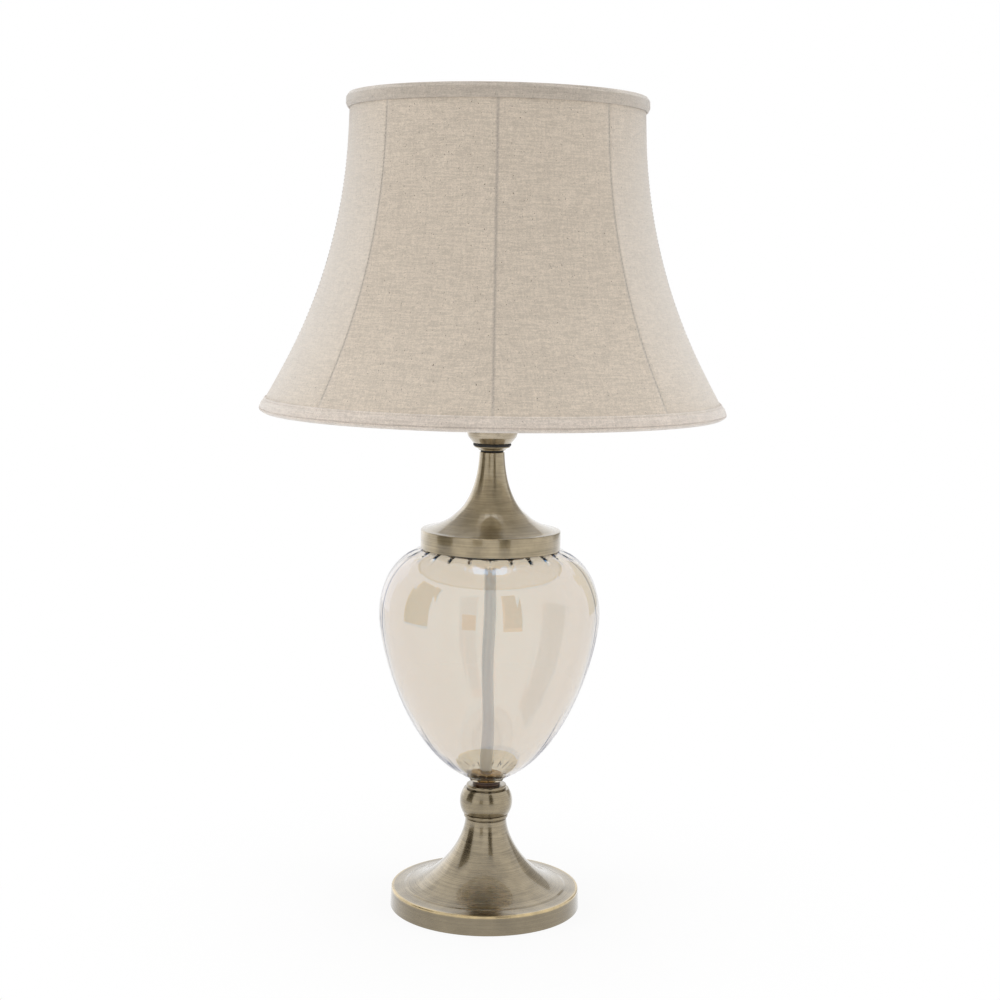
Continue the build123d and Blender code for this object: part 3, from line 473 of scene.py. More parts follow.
def bezier(a, b, c, d, steps=48):
    """Points along a cubic curve from a to d."""
    a, b, c, d = [Vector(p[:2]) for p in (a, b, c, d)]
    found = []
    for k in range(steps + 1):
        t = k / steps
        s = 1 - t
        found.append(s**3 * a + 3 * s * s * t * b + 3 * s * t * t * c + t**3 * d)
    return found


def dense(path, gap):
    """The same open path with points no further apart than gap, for a skin that is shaped."""
    found = []
    for here, there in zip(path, path[1:]):
        parts = max(1, math.ceil((there - here).length / gap))
        found += [here.lerp(there, k / parts) for k in range(parts)]
    return [*found, path[-1]]


print("profiles ready")

# %% Spinning
def at(radius, turn, height):
    return Vector((radius * math.cos(turn), radius * math.sin(turn), height))


def plain_mesh(name, points, faces):
    mesh = bpy.data.meshes.new(name)
    mesh.from_pydata(points, [], faces)
    return mesh


def spun_mesh(name, path, steps=192, shape=None):
    """The mesh of a closed path turned about Z. shape(index, turn, radius, height) gives a new
    radius, or a new radius and height."""
    points = []
    for k in range(steps):
        turn = TURN * k / steps
        for i, (radius, height) in enumerate(path):
            if shape:
                moved = shape(i, turn, radius, height)
                radius, height = moved if isinstance(moved, tuple) else (moved, height)
            points.append(at(radius, turn, height))
    count = len(path)
    faces = []
    for k in range(steps):
        here = k * count
        there = ((k + 1) % steps) * count
        for i in range(count):
            j = (i + 1) % count
            faces.append((here + i, here + j, there + j, there + i))
    mesh = plain_mesh(name, points, faces)
    work = bmesh.new()
    work.from_mesh(mesh)
    bmesh.ops.remove_doubles(work, verts=work.verts, dist=1e-6)
    bmesh.ops.recalc_face_normals(work, faces=work.faces)
    work.to_mesh(mesh)
    work.free()
    return mesh


print("lathe ready")

# %% Pieces
crease = math.radians(40)
tube_hole_r = 5.2 * MM


def finish_piece(name, mesh, material, body, nodes=()):
    """Links a mesh as a piece: smooth, with its finish, on its body, in place of its nodes."""
    mesh.materials.append(material)
    mesh.shade_smooth()
    mesh.set_sharp_from_angle(angle=crease)
    piece = put(name, mesh)
    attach(piece, body)
    if nodes:
        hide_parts(*nodes)
    return piece


def turned(name, path, material, node, steps=192, shape=None, body="stand"):
    """A turned piece, from a path or from corners that are still to be rounded."""
    if not isinstance(path[0], Vector):
        path = rounded(path)
    return finish_piece(name, spun_mesh(name, path, steps, shape), material, body, [node])


def bored(low, top, outside, bore=tube_hole_r):
    """The corners of a piece with a plain bore right through it."""
    return [(bore, low), *outside, (bore, top)]


def span(node):
    """A round node's largest radius, and its lowest and highest points."""
    low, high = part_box(node)
    return (high.x - low.x) / 2, low.z, high.z


print("pieces ready")

# %% [markdown]
# ## Foot
# The foot is spun from sheet over a wooden form: a rim that leans in a little, a small soft
# shoulder, then one long curve that rises into the neck. Spinning leaves no hard corner, so the
# rim's edge is rounded, and its lower edge rolls in over a felt pad. The long curve is one
# cubic, because two handles are all that its form needs.

# %% Foot
wall = 1.2 * MM
foot_r, foot_low, foot_top = span("base_foot")
foot_rim_z = foot_low + 16.5 * MM
foot_rim_r = foot_r - 0.9 * MM
foot_neck_r = 17.5 * MM
foot_edge = 1.3 * MM
foot_handle_low = (41.5 * MM, foot_rim_z + 2.2 * MM)
foot_handle_high = (foot_neck_r, foot_top - 19.6 * MM)

rim = rounded([
    (foot_r - wall, foot_low + 3 * wall),
    (foot_r - wall, foot_low),
    (foot_r, foot_low, 0.6 * MM),
    (foot_rim_r, foot_rim_z, foot_edge),
    (foot_rim_r - 3 * foot_edge, foot_rim_z),
], closed=False, steps=8)
sweep = bezier(rim[-1], foot_handle_low, foot_handle_high, (foot_neck_r, foot_top - 0.4 * MM), 72)
under = [
    (foot_neck_r - 0.4 * MM, foot_top),
    (tube_hole_r, foot_top),
    (tube_hole_r, foot_top - wall),
    (foot_neck_r - wall, foot_top - wall),
    (foot_neck_r - wall, foot_top - 14 * MM),
    (foot_neck_r + 12 * MM, foot_rim_z + 10 * MM),
    (foot_r - 2 * wall, foot_rim_z - wall),
    (foot_r - wall, foot_rim_z - 2 * wall),
]
foot_brass = brass(
    "foot_brass", (122, 110, 87), (172, 157, 129),
    # A gold band at the rim's edge: wear, and also a painted highlight for the edge's bright line.
    worn=(foot_rim_r - 0.4 * foot_edge, foot_rim_z - 0.4 * foot_edge),
    # Painted shade: the rim band below is darkened for the darker reflection it shows.
    painted_shade_band=(foot_rim_z - foot_edge, foot_rim_z),
)
foot_path = rim + sweep[1:] + [Vector(p) for p in under]
turned("foot", foot_path, foot_brass, "base_foot", steps=256)

pad_r, pad_low, pad_top = span("base_pad")
pad_corners = [(0, pad_low), (pad_r, pad_low, 1.2 * MM), (pad_r, pad_top, 0.8 * MM), (0, pad_top)]
pad = turned("felt_pad", pad_corners, green_felt, "base_pad", steps=128)
print("foot", round(foot_r / MM, 1), "mm radius, neck", foot_neck_r / MM)

# %% [markdown]
# ## Cord bush
# Where the cord goes into the foot, a soft moulded bush keeps it off the sheet's edge. It sits at
# the back, so it is a small turned piece laid on its side: spun about Z, then tipped so that its
# axis points backwards.

# %% Cord bush
bush_low, bush_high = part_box("cord_bush")
bush_out = (bush_high.x - bush_low.x) / 2
bush_bore = 3.2 * MM
bush_shank = 4.8 * MM
bush_length = bush_high.y - bush_low.y
bush_flange = 1.6 * MM
bush_path = rounded([
    (bush_bore, 0, 0.6 * MM),
    (bush_out, 0, 0.7 * MM),
    (bush_out, -bush_flange, 0.3 * MM),
    (bush_shank, -bush_flange),
    (bush_shank, -bush_length, 0.4 * MM),
    (bush_bore, -bush_length, 0.4 * MM),
])
bush_mesh = spun_mesh("cord_bush_skin", bush_path, 64)
bush_mesh.transform(Matrix.Rotation(-math.pi / 2, 4, "X"))
bush_mesh.transform(Matrix.Translation((0, bush_high.y, (bush_low.z + bush_high.z) / 2)))
finish_piece("bush", bush_mesh, black_plastic, "stand", ["cord_bush"])
print("bush", round(bush_out * 2 / MM, 1), "mm across")

# %% [markdown]
# ## Ring, ball and collar
# Between the foot and the glass sit three solid turnings. Each has a narrow shoulder above and
# below, and the shadow in those recesses is what separates the pieces to the eye. The rounded
# corners catch a thin bright line, which sharp ones never would.

# %% Ring, ball and collar
ring_r, ring_low, ring_top = span("foot_ring")
groove_r = 16.6 * MM
lip = 1.0 * MM
ring_corners = bored(ring_low, ring_top, [
    (groove_r, ring_low),
    (groove_r, ring_low + lip),
    (ring_r, ring_low + lip, 0.9 * MM),
    (ring_r, ring_top - lip, 0.9 * MM),
    (groove_r, ring_top - lip),
    (groove_r, ring_top),
])
turned("foot_band", ring_corners, collar_brass, "foot_ring")

ball_r, ball_low, ball_top = span("ball_knop")
ball_foot = Vector((19.95 * MM, ball_low))
ball_belly = Vector((ball_r, ball_low + 9.4 * MM))
ball_head = Vector((18.9 * MM, ball_top))


def arc_through(start, middle, end, steps):
    """Points on the arc through three points, from the right-hand side of its circle."""
    chord, cut = middle - start, end - start
    twice = 2 * (chord.x * cut.y - chord.y * cut.x)
    shift_x = (cut.y * chord.length_squared - chord.y * cut.length_squared) / twice
    shift_y = (chord.x * cut.length_squared - cut.x * chord.length_squared) / twice
    centre = start + Vector((shift_x, shift_y))
    first = math.atan2(*(start - centre).yx)
    last = math.atan2(*(end - centre).yx)
    arc_r = (start - centre).length
    return [
        centre + arc_r * Vector((math.cos(angle), math.sin(angle)))
        for angle in [first + (last - first) * k / steps for k in range(steps + 1)]
    ]


ball_path = [Vector((tube_hole_r, ball_low))]
ball_path += arc_through(ball_foot, ball_belly, ball_head, 48)
ball_path.append(Vector((tube_hole_r, ball_top)))
turned("ball", ball_path, antique_brass, "ball_knop")

collar_r, collar_low, collar_top = span("knop_collar")
collar_neck_r = 15.5 * MM
collar_neck_z = collar_low + 0.7 * MM
collar_corners = bored(collar_low, collar_top, [
    (collar_neck_r, collar_low),
    (collar_neck_r, collar_neck_z),
    (collar_r, collar_neck_z, 1.1 * MM),
    (collar_r, collar_top, 1.1 * MM),
])
turned("collar", collar_corners, collar_brass, "knop_collar")
print("ball", round(2 * ball_r / MM, 1), "mm across")

# %% [markdown]
# ## Spool
# The glass doesn't touch the metal: it stands on a short moulded spool of brown rubber, with a
# groove round its middle. Only four millimetres of it show, but its dark line is what sets the
# glass off from the brass.

# %% Spool
glass_bore_r = 8 * MM
spool_r, spool_low, spool_top = span("lower_gasket")
spool_mid = (spool_low + spool_top) / 2
spool_corners = bored(spool_low, spool_top, [
    (spool_r, spool_low, 0.5 * MM),
    (spool_r, spool_mid - 0.3 * MM, 0.3 * MM),
    (spool_r - 0.6 * MM, spool_mid),
    (spool_r, spool_mid + 0.3 * MM, 0.3 * MM),
    (spool_r, spool_top, 0.5 * MM),
], glass_bore_r)
turned("spool", spool_corners, brown_rubber, "lower_gasket", steps=128)
print("spool", round(2 * spool_r / MM, 1), "mm across")

# %% [markdown]
# ## Outline of the vessel
# The outline of the glass is two quarter turns of a superellipse that meet at the belly, one
# tall and slack below, one short and full above: four numbers in place of a traced curve. The
# inner skin is the same pair of curves, set in by the wall.

# %% Outline of the vessel
glass_wall = 3.05 * MM
glass_low, glass_top = span("glass_body")[1:]
belly_r = 92.6 * MM
belly_z = glass_low + 141.7 * MM
lower_form = {"pole": glass_low, "round": 1.98, "full": 1.5}
upper_form = {"pole": glass_low + 202.5 * MM, "round": 4.055, "full": 2.055}
lip_join_r = 18.5 * MM
shoulder_join_r = 62 * MM
mouth_r = 55.5 * MM
mouth_bore_r = mouth_r - 2.4 * MM
seat_pocket_r = 13.2 * MM
glass_floor_z = glass_low + 3.5 * MM


def vessel_run(form, radius, inset, steps):
    """Points of the outline from the belly to the given radius, set in from the outer skin."""
    rise = form["pole"] - belly_z
    rise -= math.copysign(inset, rise)
    last = math.acos((radius / (belly_r - inset)) ** (form["round"] / 2))
    found = []
    for k in range(steps + 1):
        turn = last * k / steps
        reach = (belly_r - inset) * math.cos(turn) ** (2 / form["round"])
        found.append(Vector((reach, belly_z + rise * math.sin(turn) ** (2 / form["full"]))))
    return found


lip_path = rounded([
    (glass_bore_r, glass_low),
    (14.2 * MM, glass_low, 0.5 * MM),
    (15.8 * MM, glass_low + 1.6 * MM, 0.8 * MM),
    (lip_join_r, glass_low + 3.9 * MM),
], closed=False, steps=6)
outer_low = vessel_run(lower_form, lip_join_r, 0, 84)[::-1]
outer_high = vessel_run(upper_form, shoulder_join_r, 0, 48)
mouth_path = rounded([
    tuple(outer_high[-1]),
    (mouth_r, outer_high[-1].y + 2.2 * MM, 2 * MM),
    (mouth_r, glass_top, 0.8 * MM),
    (mouth_bore_r, glass_top, 0.8 * MM),
    (mouth_bore_r, glass_top - 6 * MM),
], closed=False, steps=5)
inner_high = vessel_run(upper_form, mouth_bore_r, glass_wall, 36)[::-1]
inner_low = vessel_run(lower_form, seat_pocket_r, glass_wall, 72)
floor_path = [Vector((seat_pocket_r, glass_floor_z)), Vector((glass_bore_r, glass_floor_z))]
outer_skin = lip_path[:-1] + outer_low + outer_high[1:]
inner_start = len(outer_skin) + len(mouth_path) - 1
glass_path = outer_skin + mouth_path[1:] + inner_high + inner_low[1:] + floor_path
print("vessel belly", round(belly_r * 2 / MM, 1), "mm, outline points", len(glass_path))

# %% [markdown]
# ## Flutes
# The glass is blown into a mould with twenty-four upright hollows and then blown out further, so
# the flutes stay sharp at its two ends and are all but smoothed away at the belly. They are cut
# deep into the outer skin alone, because a wall of even thickness shows no flute at all: it is
# the change of thickness that bends the light and draws the dark strokes under the cap. Blown
# glass is never quite even either, so the inner skin wanders by less than half a millimetre,
# and the tube behind it looks a little bent. The wander dies away at the two sides, where it
# would break up the clean line of the wall.

# %% Flutes
lobe_count = 24
belly_flute = 0.08 * MM
shoulder_flute = 1.0 * MM
foot_flute = 1.2 * MM
flute_sharpness = 6
blown_wander = 0.45 * MM
wander_height = 16 * MM


def eased(value, low, high):
    share = min(1.0, max(0.0, (value - low) / (high - low)))
    return share * share * (3 - 2 * share)


def flute_depth(i, radius, height):
    """How deep a flute is cut here: a trace on both skins, and more at the outer skin's ends."""
    upper = height > belly_z
    if upper:
        plain_ends = eased(radius, 59 * MM, 62.5 * MM)
        end_depth = shoulder_flute * (1 - eased(radius, 64 * MM, 72 * MM))
    else:
        plain_ends = eased(height, glass_low + 4 * MM, glass_low + 7 * MM)
        end_depth = foot_flute * (1 - eased(radius, 19 * MM, 31 * MM))
    depth = belly_flute * radius / belly_r
    return (depth + end_depth if i < len(outer_skin) else depth) * plain_ends


def flutes(i, turn, radius, height):
    """Moves a point of either skin towards the hollow of the vessel, square to the skin."""
    inside = i >= inner_start
    in_mouth = len(outer_skin) <= i and not inside
    if in_mouth or i >= len(glass_path) - 3 or i < len(lip_path) - 1:
        return radius
    along = glass_path[i + 1] - glass_path[i - 1]
    square = Vector((-along.y, along.x)).normalized()
    across = (turn * lobe_count / TURN) % 1 * 2 - 1
    push = flute_depth(i, radius, height) * across**flute_sharpness
    if inside:
        square = -square
        calm = eased(radius, 20 * MM, 50 * MM)
        wave = math.sin(3 * turn + (height - belly_z) / wander_height)
        push += blown_wander * calm * wave * math.sin(turn) ** 2
    here = Vector((radius, height)) + square * push
    return here.x, here.y


vessel = turned(
    "vessel", glass_path, champagne_glass, "glass_body",
    steps=lobe_count * 18, shape=flutes,
)
print("vessel points", len(vessel.data.vertices))

# %% [markdown]
# ## Seat, tube and coupling
# Through the glass the eye finds the lamp's spine: a steel tube, the polished brass seat that
# holds the bottom of the glass, and a dark coupling nut under the cap. They are simple, but the
# glass repeats and bends them, so their edges and finish still count.

# %% Seat, tube and coupling
seat_r, seat_low, seat_top = span("glass_seat")
seat_spigot_r = 7.6 * MM
seat_flange_low = seat_top - 3.2 * MM
seat_corners = bored(seat_low, seat_top - 1 * MM, [
    (seat_spigot_r, seat_low, 0.3 * MM),
    (seat_spigot_r, seat_flange_low),
    (seat_r, seat_flange_low, 0.3 * MM),
    (seat_r, seat_top - 0.8 * MM, 0.8 * MM),
    (seat_r - 3 * MM, seat_top, 0.8 * MM),
    (tube_hole_r + 2.5 * MM, seat_top, 0.4 * MM),
])
turned("seat", seat_corners, bright_brass, "glass_seat", steps=128)

tube_r, tube_low, tube_top = span("centre_tube")
tube_bore_r = 3.75 * MM
thread_pitch = 1.0 * MM
thread_depth = 0.35 * MM
tube_thread_low = tube_top - 22 * MM
tube_path = rounded([
    (tube_bore_r, tube_low),
    (tube_r, tube_low, 0.4 * MM),
    (tube_r, tube_thread_low),
    (tube_r, tube_top, 0.4 * MM),
    (tube_bore_r, tube_top),
])
tube_foot, tube_side = tube_path[:-8], tube_path[-8:]
tube_path = tube_foot + dense(tube_side, 0.25 * MM)


def tube_thread(i, turn, radius, height):
    """A fine V thread on the top end of the tube."""
    if height < tube_thread_low or radius < tube_r - 0.2 * MM:
        return radius
    along = ((height - tube_thread_low) / thread_pitch - turn / TURN) % 1
    return radius - thread_depth * abs(2 * along - 1)


turned("tube", tube_path, tube_steel, "centre_tube", 48, tube_thread)

nut_r, nut_low, nut_top = span("tube_coupling")
nut_groove_r = nut_r - 0.5 * MM
nut_corners = bored(nut_low, nut_top, [
    (nut_r, nut_low, 0.9 * MM),
    (nut_r, nut_low + 6 * MM),
    (nut_groove_r, nut_low + 6.5 * MM),
    (nut_groove_r, nut_low + 8 * MM),
    (nut_r, nut_low + 8.5 * MM),
    (nut_r, nut_top, 0.4 * MM),
])
turned("coupling", nut_corners, zinc_steel, "tube_coupling", steps=96)
print("tube", round((tube_top - tube_low) / MM, 1), "mm long")

# %% [markdown]
# ## Cap
# The cap is spun like the foot, from the same sheet: a straight band that hides the mouth of the
# glass, a soft shoulder, and a trumpet that climbs to the neck. Again one cubic makes the long
# curve, and the band's lower edge is turned in.

# %% Cap
cap_r, cap_low, cap_top = span("top_cap")
cap_rim_z = cap_low + 15.7 * MM
cap_neck_r = 10.4 * MM
cap_edge = 1.5 * MM
cap_shoulder = 19.4 * MM
cap_handle_low = (cap_r - cap_edge - cap_shoulder, cap_rim_z + 0.28 * cap_shoulder)
cap_handle_high = (cap_neck_r + 2.3 * MM, cap_top - 51.4 * MM)
band = rounded([
    (cap_r - wall, cap_low + 3 * wall),
    (cap_r - wall, cap_low),
    (cap_r, cap_low, 0.6 * MM),
    (cap_r, cap_rim_z, cap_edge),
    (cap_r - 3 * cap_edge, cap_rim_z + 0.3 * cap_edge),
], closed=False, steps=8)
trumpet = bezier(band[-1], cap_handle_low, cap_handle_high, (cap_neck_r, cap_top - 0.3 * MM), 72)
cap_inside = [
    (cap_neck_r - 0.3 * MM, cap_top),
    (tube_hole_r, cap_top),
    (tube_hole_r, cap_top - wall),
    (cap_neck_r - wall, cap_top - wall),
    (cap_neck_r - wall + 1 * MM, cap_top - 26 * MM),
    (cap_neck_r + 9 * MM, cap_rim_z + 22 * MM),
    (cap_r - 14 * MM, cap_rim_z),
    (cap_r - 2 * wall, cap_rim_z - wall),
    (cap_r - wall, cap_rim_z - 2 * wall),
]
cap_path = band + trumpet[1:] + [Vector(p) for p in cap_inside]
# The cap's lighter brass is painted light.
turned("cap", cap_path, cap_brass_painted_light, "top_cap", steps=256)
print("cap", round(cap_r * 2 / MM, 1), "mm across")

# %% [markdown]
# ## Neck
# Four thin pieces finish the neck: a dark washer, a bright flared ring, a dark gasket and the
# cup that carries the lampholder. Dark and bright alternate, so each is its own turned piece
# with its own finish.

# %% Neck
def soft_ring(name, node, edge):
    outer, low, top = span(node)
    corners = bored(low, top, [(outer, low, edge), (outer, top, edge)])
    turned(name, corners, black_rubber, node, steps=128)


soft_ring("washer", "neck_washer", 0.7 * MM)

flare_r, flare_low, flare_top = span("neck_ring")
flare_foot_r = 11.3 * MM
flare_path = bezier(
    (flare_foot_r, flare_low),
    (flare_foot_r + 0.6 * MM, flare_low + 1.4 * MM),
    (flare_r - 1.4 * MM, flare_top - 1.5 * MM),
    (flare_r - 0.2 * MM, flare_top - 0.9 * MM),
    16,
)
flare_path += [Vector((flare_r, flare_top - drop * MM)) for drop in (0.6, 0.2)]
flare_path.append(Vector((flare_r - 0.2 * MM, flare_top)))
flare_path = [Vector(p) for p in bored(flare_low, flare_top, flare_path)]
turned("flared_ring", flare_path, cap_brass_painted_light, "neck_ring")

soft_ring("gasket", "cup_gasket", 1.1 * MM)

cup_r, cup_low, cup_top = span("holder_cup")
cup_wall = 0.8 * MM
cup_foot_r = 16 * MM
cup_bowl_z = cup_low + 8 * MM
cup_floor_z = cup_low + cup_wall
cup_outside = rounded([
    (cup_foot_r - 1 * MM, cup_low),
    (cup_foot_r, cup_low, 0.5 * MM),
    (cup_r - 0.7 * MM, cup_low + 5.2 * MM, 6 * MM),
    (cup_r, cup_bowl_z),
], closed=False, steps=10)
cup_rim = rounded([
    (cup_r, cup_bowl_z),
    (cup_r, cup_top, 0.35 * MM),
    (cup_r - cup_wall, cup_top, 0.35 * MM),
    (cup_r - cup_wall, cup_bowl_z + cup_wall),
], closed=False)[1:]
inwards = Vector((-cup_wall, 0.6 * cup_wall))
cup_inside = [p + inwards for p in cup_outside[:0:-1] if p.y > cup_floor_z]
cup_path = [Vector((tube_hole_r, cup_low))] + cup_outside + cup_rim + cup_inside
cup_path += [Vector((radius, cup_floor_z)) for radius in (cup_foot_r - cup_wall, tube_hole_r)]
# The cup's lighter brass is painted light.
turned("cup", cup_path, cup_brass_painted_light, "holder_cup")
print("cup", round(cup_low / MM, 1), "to", round(cup_top / MM, 1), "mm")

# %% [markdown]
# ## Lampholder
# The lampholder is moulded in black phenolic: a dome that screws to the tube, and a skirt whose
# outside carries a coarse thread. The thread is cut by the lathe's shape function, as a ridge
# that climbs one pitch for each turn.

# %% Lampholder
dome_r, dome_low, dome_top = span("holder_dome")
dome_wall = 2 * MM
dome_lip_z = dome_top - 6 * MM
dome_lip_r = dome_r - dome_wall / 2
dome_foot_r = 13.5 * MM
dome_floor_z = dome_low + 3 * MM
dome_corners = [
    (tube_hole_r, dome_low),
    (dome_foot_r, dome_low, 0.6 * MM),
    (dome_r, dome_low + 7.4 * MM, 3 * MM),
    (dome_r, dome_lip_z, 0.3 * MM),
    (dome_lip_r, dome_lip_z),
    (dome_lip_r, dome_top, 0.2 * MM),
    (dome_r - dome_wall, dome_top),
    (dome_r - dome_wall, dome_low + 9.4 * MM, 2 * MM),
    (dome_foot_r, dome_floor_z),
    (tube_hole_r, dome_floor_z),
]
turned("lampholder_dome", dome_corners, phenolic, "holder_dome", steps=128)

skirt_r, skirt_low, skirt_top = span("holder_skirt")
skirt_bore_r = 14.3 * MM
skirt_lip_bore_r = 19.2 * MM
skirt_ledge_z = skirt_low + 8.5 * MM
skirt_thread_low = skirt_low + 4 * MM
skirt_thread_pitch = 2.5 * MM
skirt_thread_depth = 0.45 * MM
skirt_side = dense([Vector((skirt_r, z)) for z in (skirt_low, skirt_top - 0.8 * MM)], 0.35 * MM)
skirt_rest = rounded([
    (skirt_r - 0.8 * MM, skirt_top, 0.4 * MM),
    (skirt_bore_r, skirt_top, 0.6 * MM),
    (skirt_bore_r, skirt_ledge_z),
    (skirt_lip_bore_r, skirt_ledge_z),
    (skirt_lip_bore_r, skirt_low),
], closed=False)


def round_thread(radius, depth, climb, turn):
    """A rounded thread whose crests lie on the plain radius, climb pitches above its start."""
    return radius - depth * (0.5 - 0.5 * math.cos(TURN * (climb - turn / TURN)))


def skirt_thread(i, turn, radius, height):
    if i >= len(skirt_side) or not skirt_thread_low < height < skirt_top - 1 * MM:
        return radius
    climb = (height - skirt_thread_low) / skirt_thread_pitch
    return round_thread(radius, skirt_thread_depth, climb, turn)


skirt_path = skirt_side + skirt_rest
turned(
    "lampholder_skirt", skirt_path, phenolic, "holder_skirt", 96, skirt_thread
)
print("skirt thread", skirt_thread_pitch / MM, "mm pitch")

# %% [markdown]
# ## Shade rings
# Two rings run on the skirt's thread and pinch the shade between them. Each has a hub with
# finger grips, cut like the flutes of the glass, and a thin flange on the side of the shade.

# %% Shade rings
grip_count = 24
grip_depth = 0.9 * MM
hub_r = 23.5 * MM
hub_bore_r = 20.2 * MM
flange_t = 1.6 * MM


def grip_ring(name, node, body, flange_up):
    out_r, low, top = span(node)
    near, far = (top, low) if flange_up else (low, top)
    flange_z = near - flange_t if flange_up else near + flange_t
    corners = [
        (hub_bore_r, far, 0.3 * MM),
        (hub_r, far, 0.6 * MM),
        (hub_r, flange_z),
        (out_r, flange_z, 0.5 * MM),
        (out_r, near, 0.5 * MM),
        (hub_bore_r, near, 0.3 * MM),
    ]

    def grips(i, turn, radius, height):
        on_hub = abs(radius - hub_r) < 1.2 * MM and abs(height - near) > flange_t + 0.1 * MM
        wave = max(0.0, math.cos(turn * grip_count))
        return radius - grip_depth * wave**2 if on_hub else radius

    turned(name, corners, phenolic, node, grip_count * 8, grips, body)


grip_ring("seat_ring", "shade_seat_ring", "stand", True)
grip_ring("clamp_ring", "shade_retaining_ring", "retaining_ring", False)
print("grips", grip_count)

# %% [markdown]
# ## Bulb
# A plain frosted globe with a rolled-thread cap. The thread is round, as rolled sheet is, and it
# climbs 3.6 mm a turn. The glass starts inside the cap, runs up a short neck and opens into the
# globe along one curve.

# %% Bulb
screw_pitch = 3.629 * MM
screw_depth = 1.1 * MM
shell_r, shell_low, shell_top = span("bulb_cap")
screw_r = 13 * MM
shell_ends = shell_low + 2 * MM, shell_top - 3 * MM
shell_side = dense([Vector((screw_r, z)) for z in shell_ends], 0.4 * MM)
shell_rest = rounded([
    (screw_r, shell_top - 2 * MM, 0.5 * MM),
    (shell_r, shell_top, 0.4 * MM),
    (0, shell_top),
    (0, shell_low),
    (11 * MM, shell_low, 0.5 * MM),
], closed=False)


def bulb_thread(i, turn, radius, height):
    if i >= len(shell_side):
        return radius
    return round_thread(radius, screw_depth, (height - shell_low) / screw_pitch, turn)


shell_path = shell_side + shell_rest
turned("bulb_screw", shell_path, bulb_shell, "bulb_cap", 96, bulb_thread, "bulb")

globe_r, globe_low, globe_top = span("bulb_globe")
globe_z = globe_top - globe_r
globe_wall = 0.9 * MM
neck_r = 12.5 * MM
neck_lean = math.radians(40)
neck_pull = 11 * MM
shoulder = (globe_r * math.cos(neck_lean), globe_z - globe_r * math.sin(neck_lean))
neck_curve = bezier(
    (neck_r, globe_low),
    (neck_r, globe_low + neck_pull),
    (shoulder[0] - neck_pull * math.sin(neck_lean), shoulder[1] - neck_pull * math.cos(neck_lean)),
    shoulder,
    24,
)
globe_turns = [-neck_lean + (math.pi / 2 + neck_lean) * k / 40 for k in range(1, 41)]
globe_skin = neck_curve + [
    Vector((globe_r * math.cos(turn), globe_z + globe_r * math.sin(turn))) for turn in globe_turns
]
globe_inside = [Vector((0, globe_top - globe_wall))]
for p in globe_skin[-2::-1]:
    away = Vector((p.x, p.y - globe_z)).normalized() if p.y > shoulder[1] else Vector((1, -0.2))
    globe_inside.append(p - away * globe_wall)
globe_path = globe_skin + globe_inside
turned("bulb_glass", globe_path, frosted_glass, "bulb_globe", 128, body="bulb")

tip_r, tip_low, tip_top = span("bulb_contact")
tip_turns = [math.pi / 2 * k / 10 for k in range(11)]
tip_path = [
    Vector((tip_r * math.sin(turn), tip_top - (tip_top - tip_low) * math.cos(turn)))
    for turn in tip_turns
]
tip_path.append(Vector((0, tip_top)))
turned("bulb_tip_contact", tip_path, solder, "bulb_contact", 48, body="bulb_tip")
print("bulb", round(globe_r * 2 / MM, 1), "mm globe")

# %% [markdown]
# ## Wire frame of the shade
# Two hoops and eight struts are spot-welded from wire, and four arms carry the hoop's weight to
# a flat ring that drops over the lampholder. Wire is a circle moved along a path, so one helper
# makes all of them. The struts follow the bell itself, a little inside the cloth.

# %% Bell profile
hem_r, hem_z, crown_z = span("shade_fabric")
crown_r = 119.85 * MM
crown_lean = math.radians(3)
hem_lean = math.radians(28)
lean_rate, flare_rate = math.tan(crown_lean), math.tan(hem_lean)
bend_r = 440 * MM
knee_drop = (flare_rate * (crown_z - hem_z) - (hem_r - crown_r)) / (flare_rate - lean_rate)
knee_z = crown_z - knee_drop
bend_run = bend_r * math.tan((hem_lean - crown_lean) / 2)
bend_top_z = knee_z + bend_run * math.cos(crown_lean)
bend_low_z = knee_z - bend_run * math.cos(hem_lean)
bend_mid_z = bend_top_z + bend_r * math.sin(crown_lean)
bend_mid_r = crown_r + (crown_z - bend_top_z) * lean_rate + bend_r * math.cos(crown_lean)


def bell(height):
    """The radius of the cloth's outer face at a strut: two straight runs and one bend."""
    if height >= bend_top_z:
        return crown_r + (crown_z - height) * lean_rate
    if height <= bend_low_z:
        return hem_r - (height - hem_z) * flare_rate
    return bend_mid_r - math.sqrt(bend_r**2 - (bend_mid_z - height) ** 2)


print("bell", round(hem_r / MM, 1), "to", round(bell(crown_z) / MM, 1), "mm radius")

# %% Wire helper
def wire_mesh(name, lines, radius, sides=12, closed=False):
    """Round wire along each line of points."""
    work = bmesh.new()
    for line in lines:
        count = len(line)
        rings = []
        side = None
        for i, here in enumerate(line):
            before = line[i - 1] if (i or closed) else here
            after = line[(i + 1) % count] if (i < count - 1 or closed) else here
            way = (after - before).normalized()
            if side is None:
                side = way.orthogonal().normalized()
            side = (side - way * side.dot(way)).normalized()
            up = way.cross(side)
            ring = []
            for k in range(sides):
                angle = TURN * k / sides
                spot = here + (side * math.cos(angle) + up * math.sin(angle)) * radius
                ring.append(work.verts.new(spot))
            rings.append(ring)
        for low, high in zip(rings, rings[1:] + rings[:closed]):
            for k in range(sides):
                work.faces.new((low[k], low[(k + 1) % sides], high[(k + 1) % sides], high[k]))
        if not closed:
            work.faces.new(rings[0][::-1])
            work.faces.new(rings[-1])
    bmesh.ops.recalc_face_normals(work, faces=work.faces)
    mesh = bpy.data.meshes.new(name)
    work.to_mesh(mesh)
    work.free()
    return mesh


def middle_z(node):
    return sum(span(node)[1:]) / 2


print("wire ready")

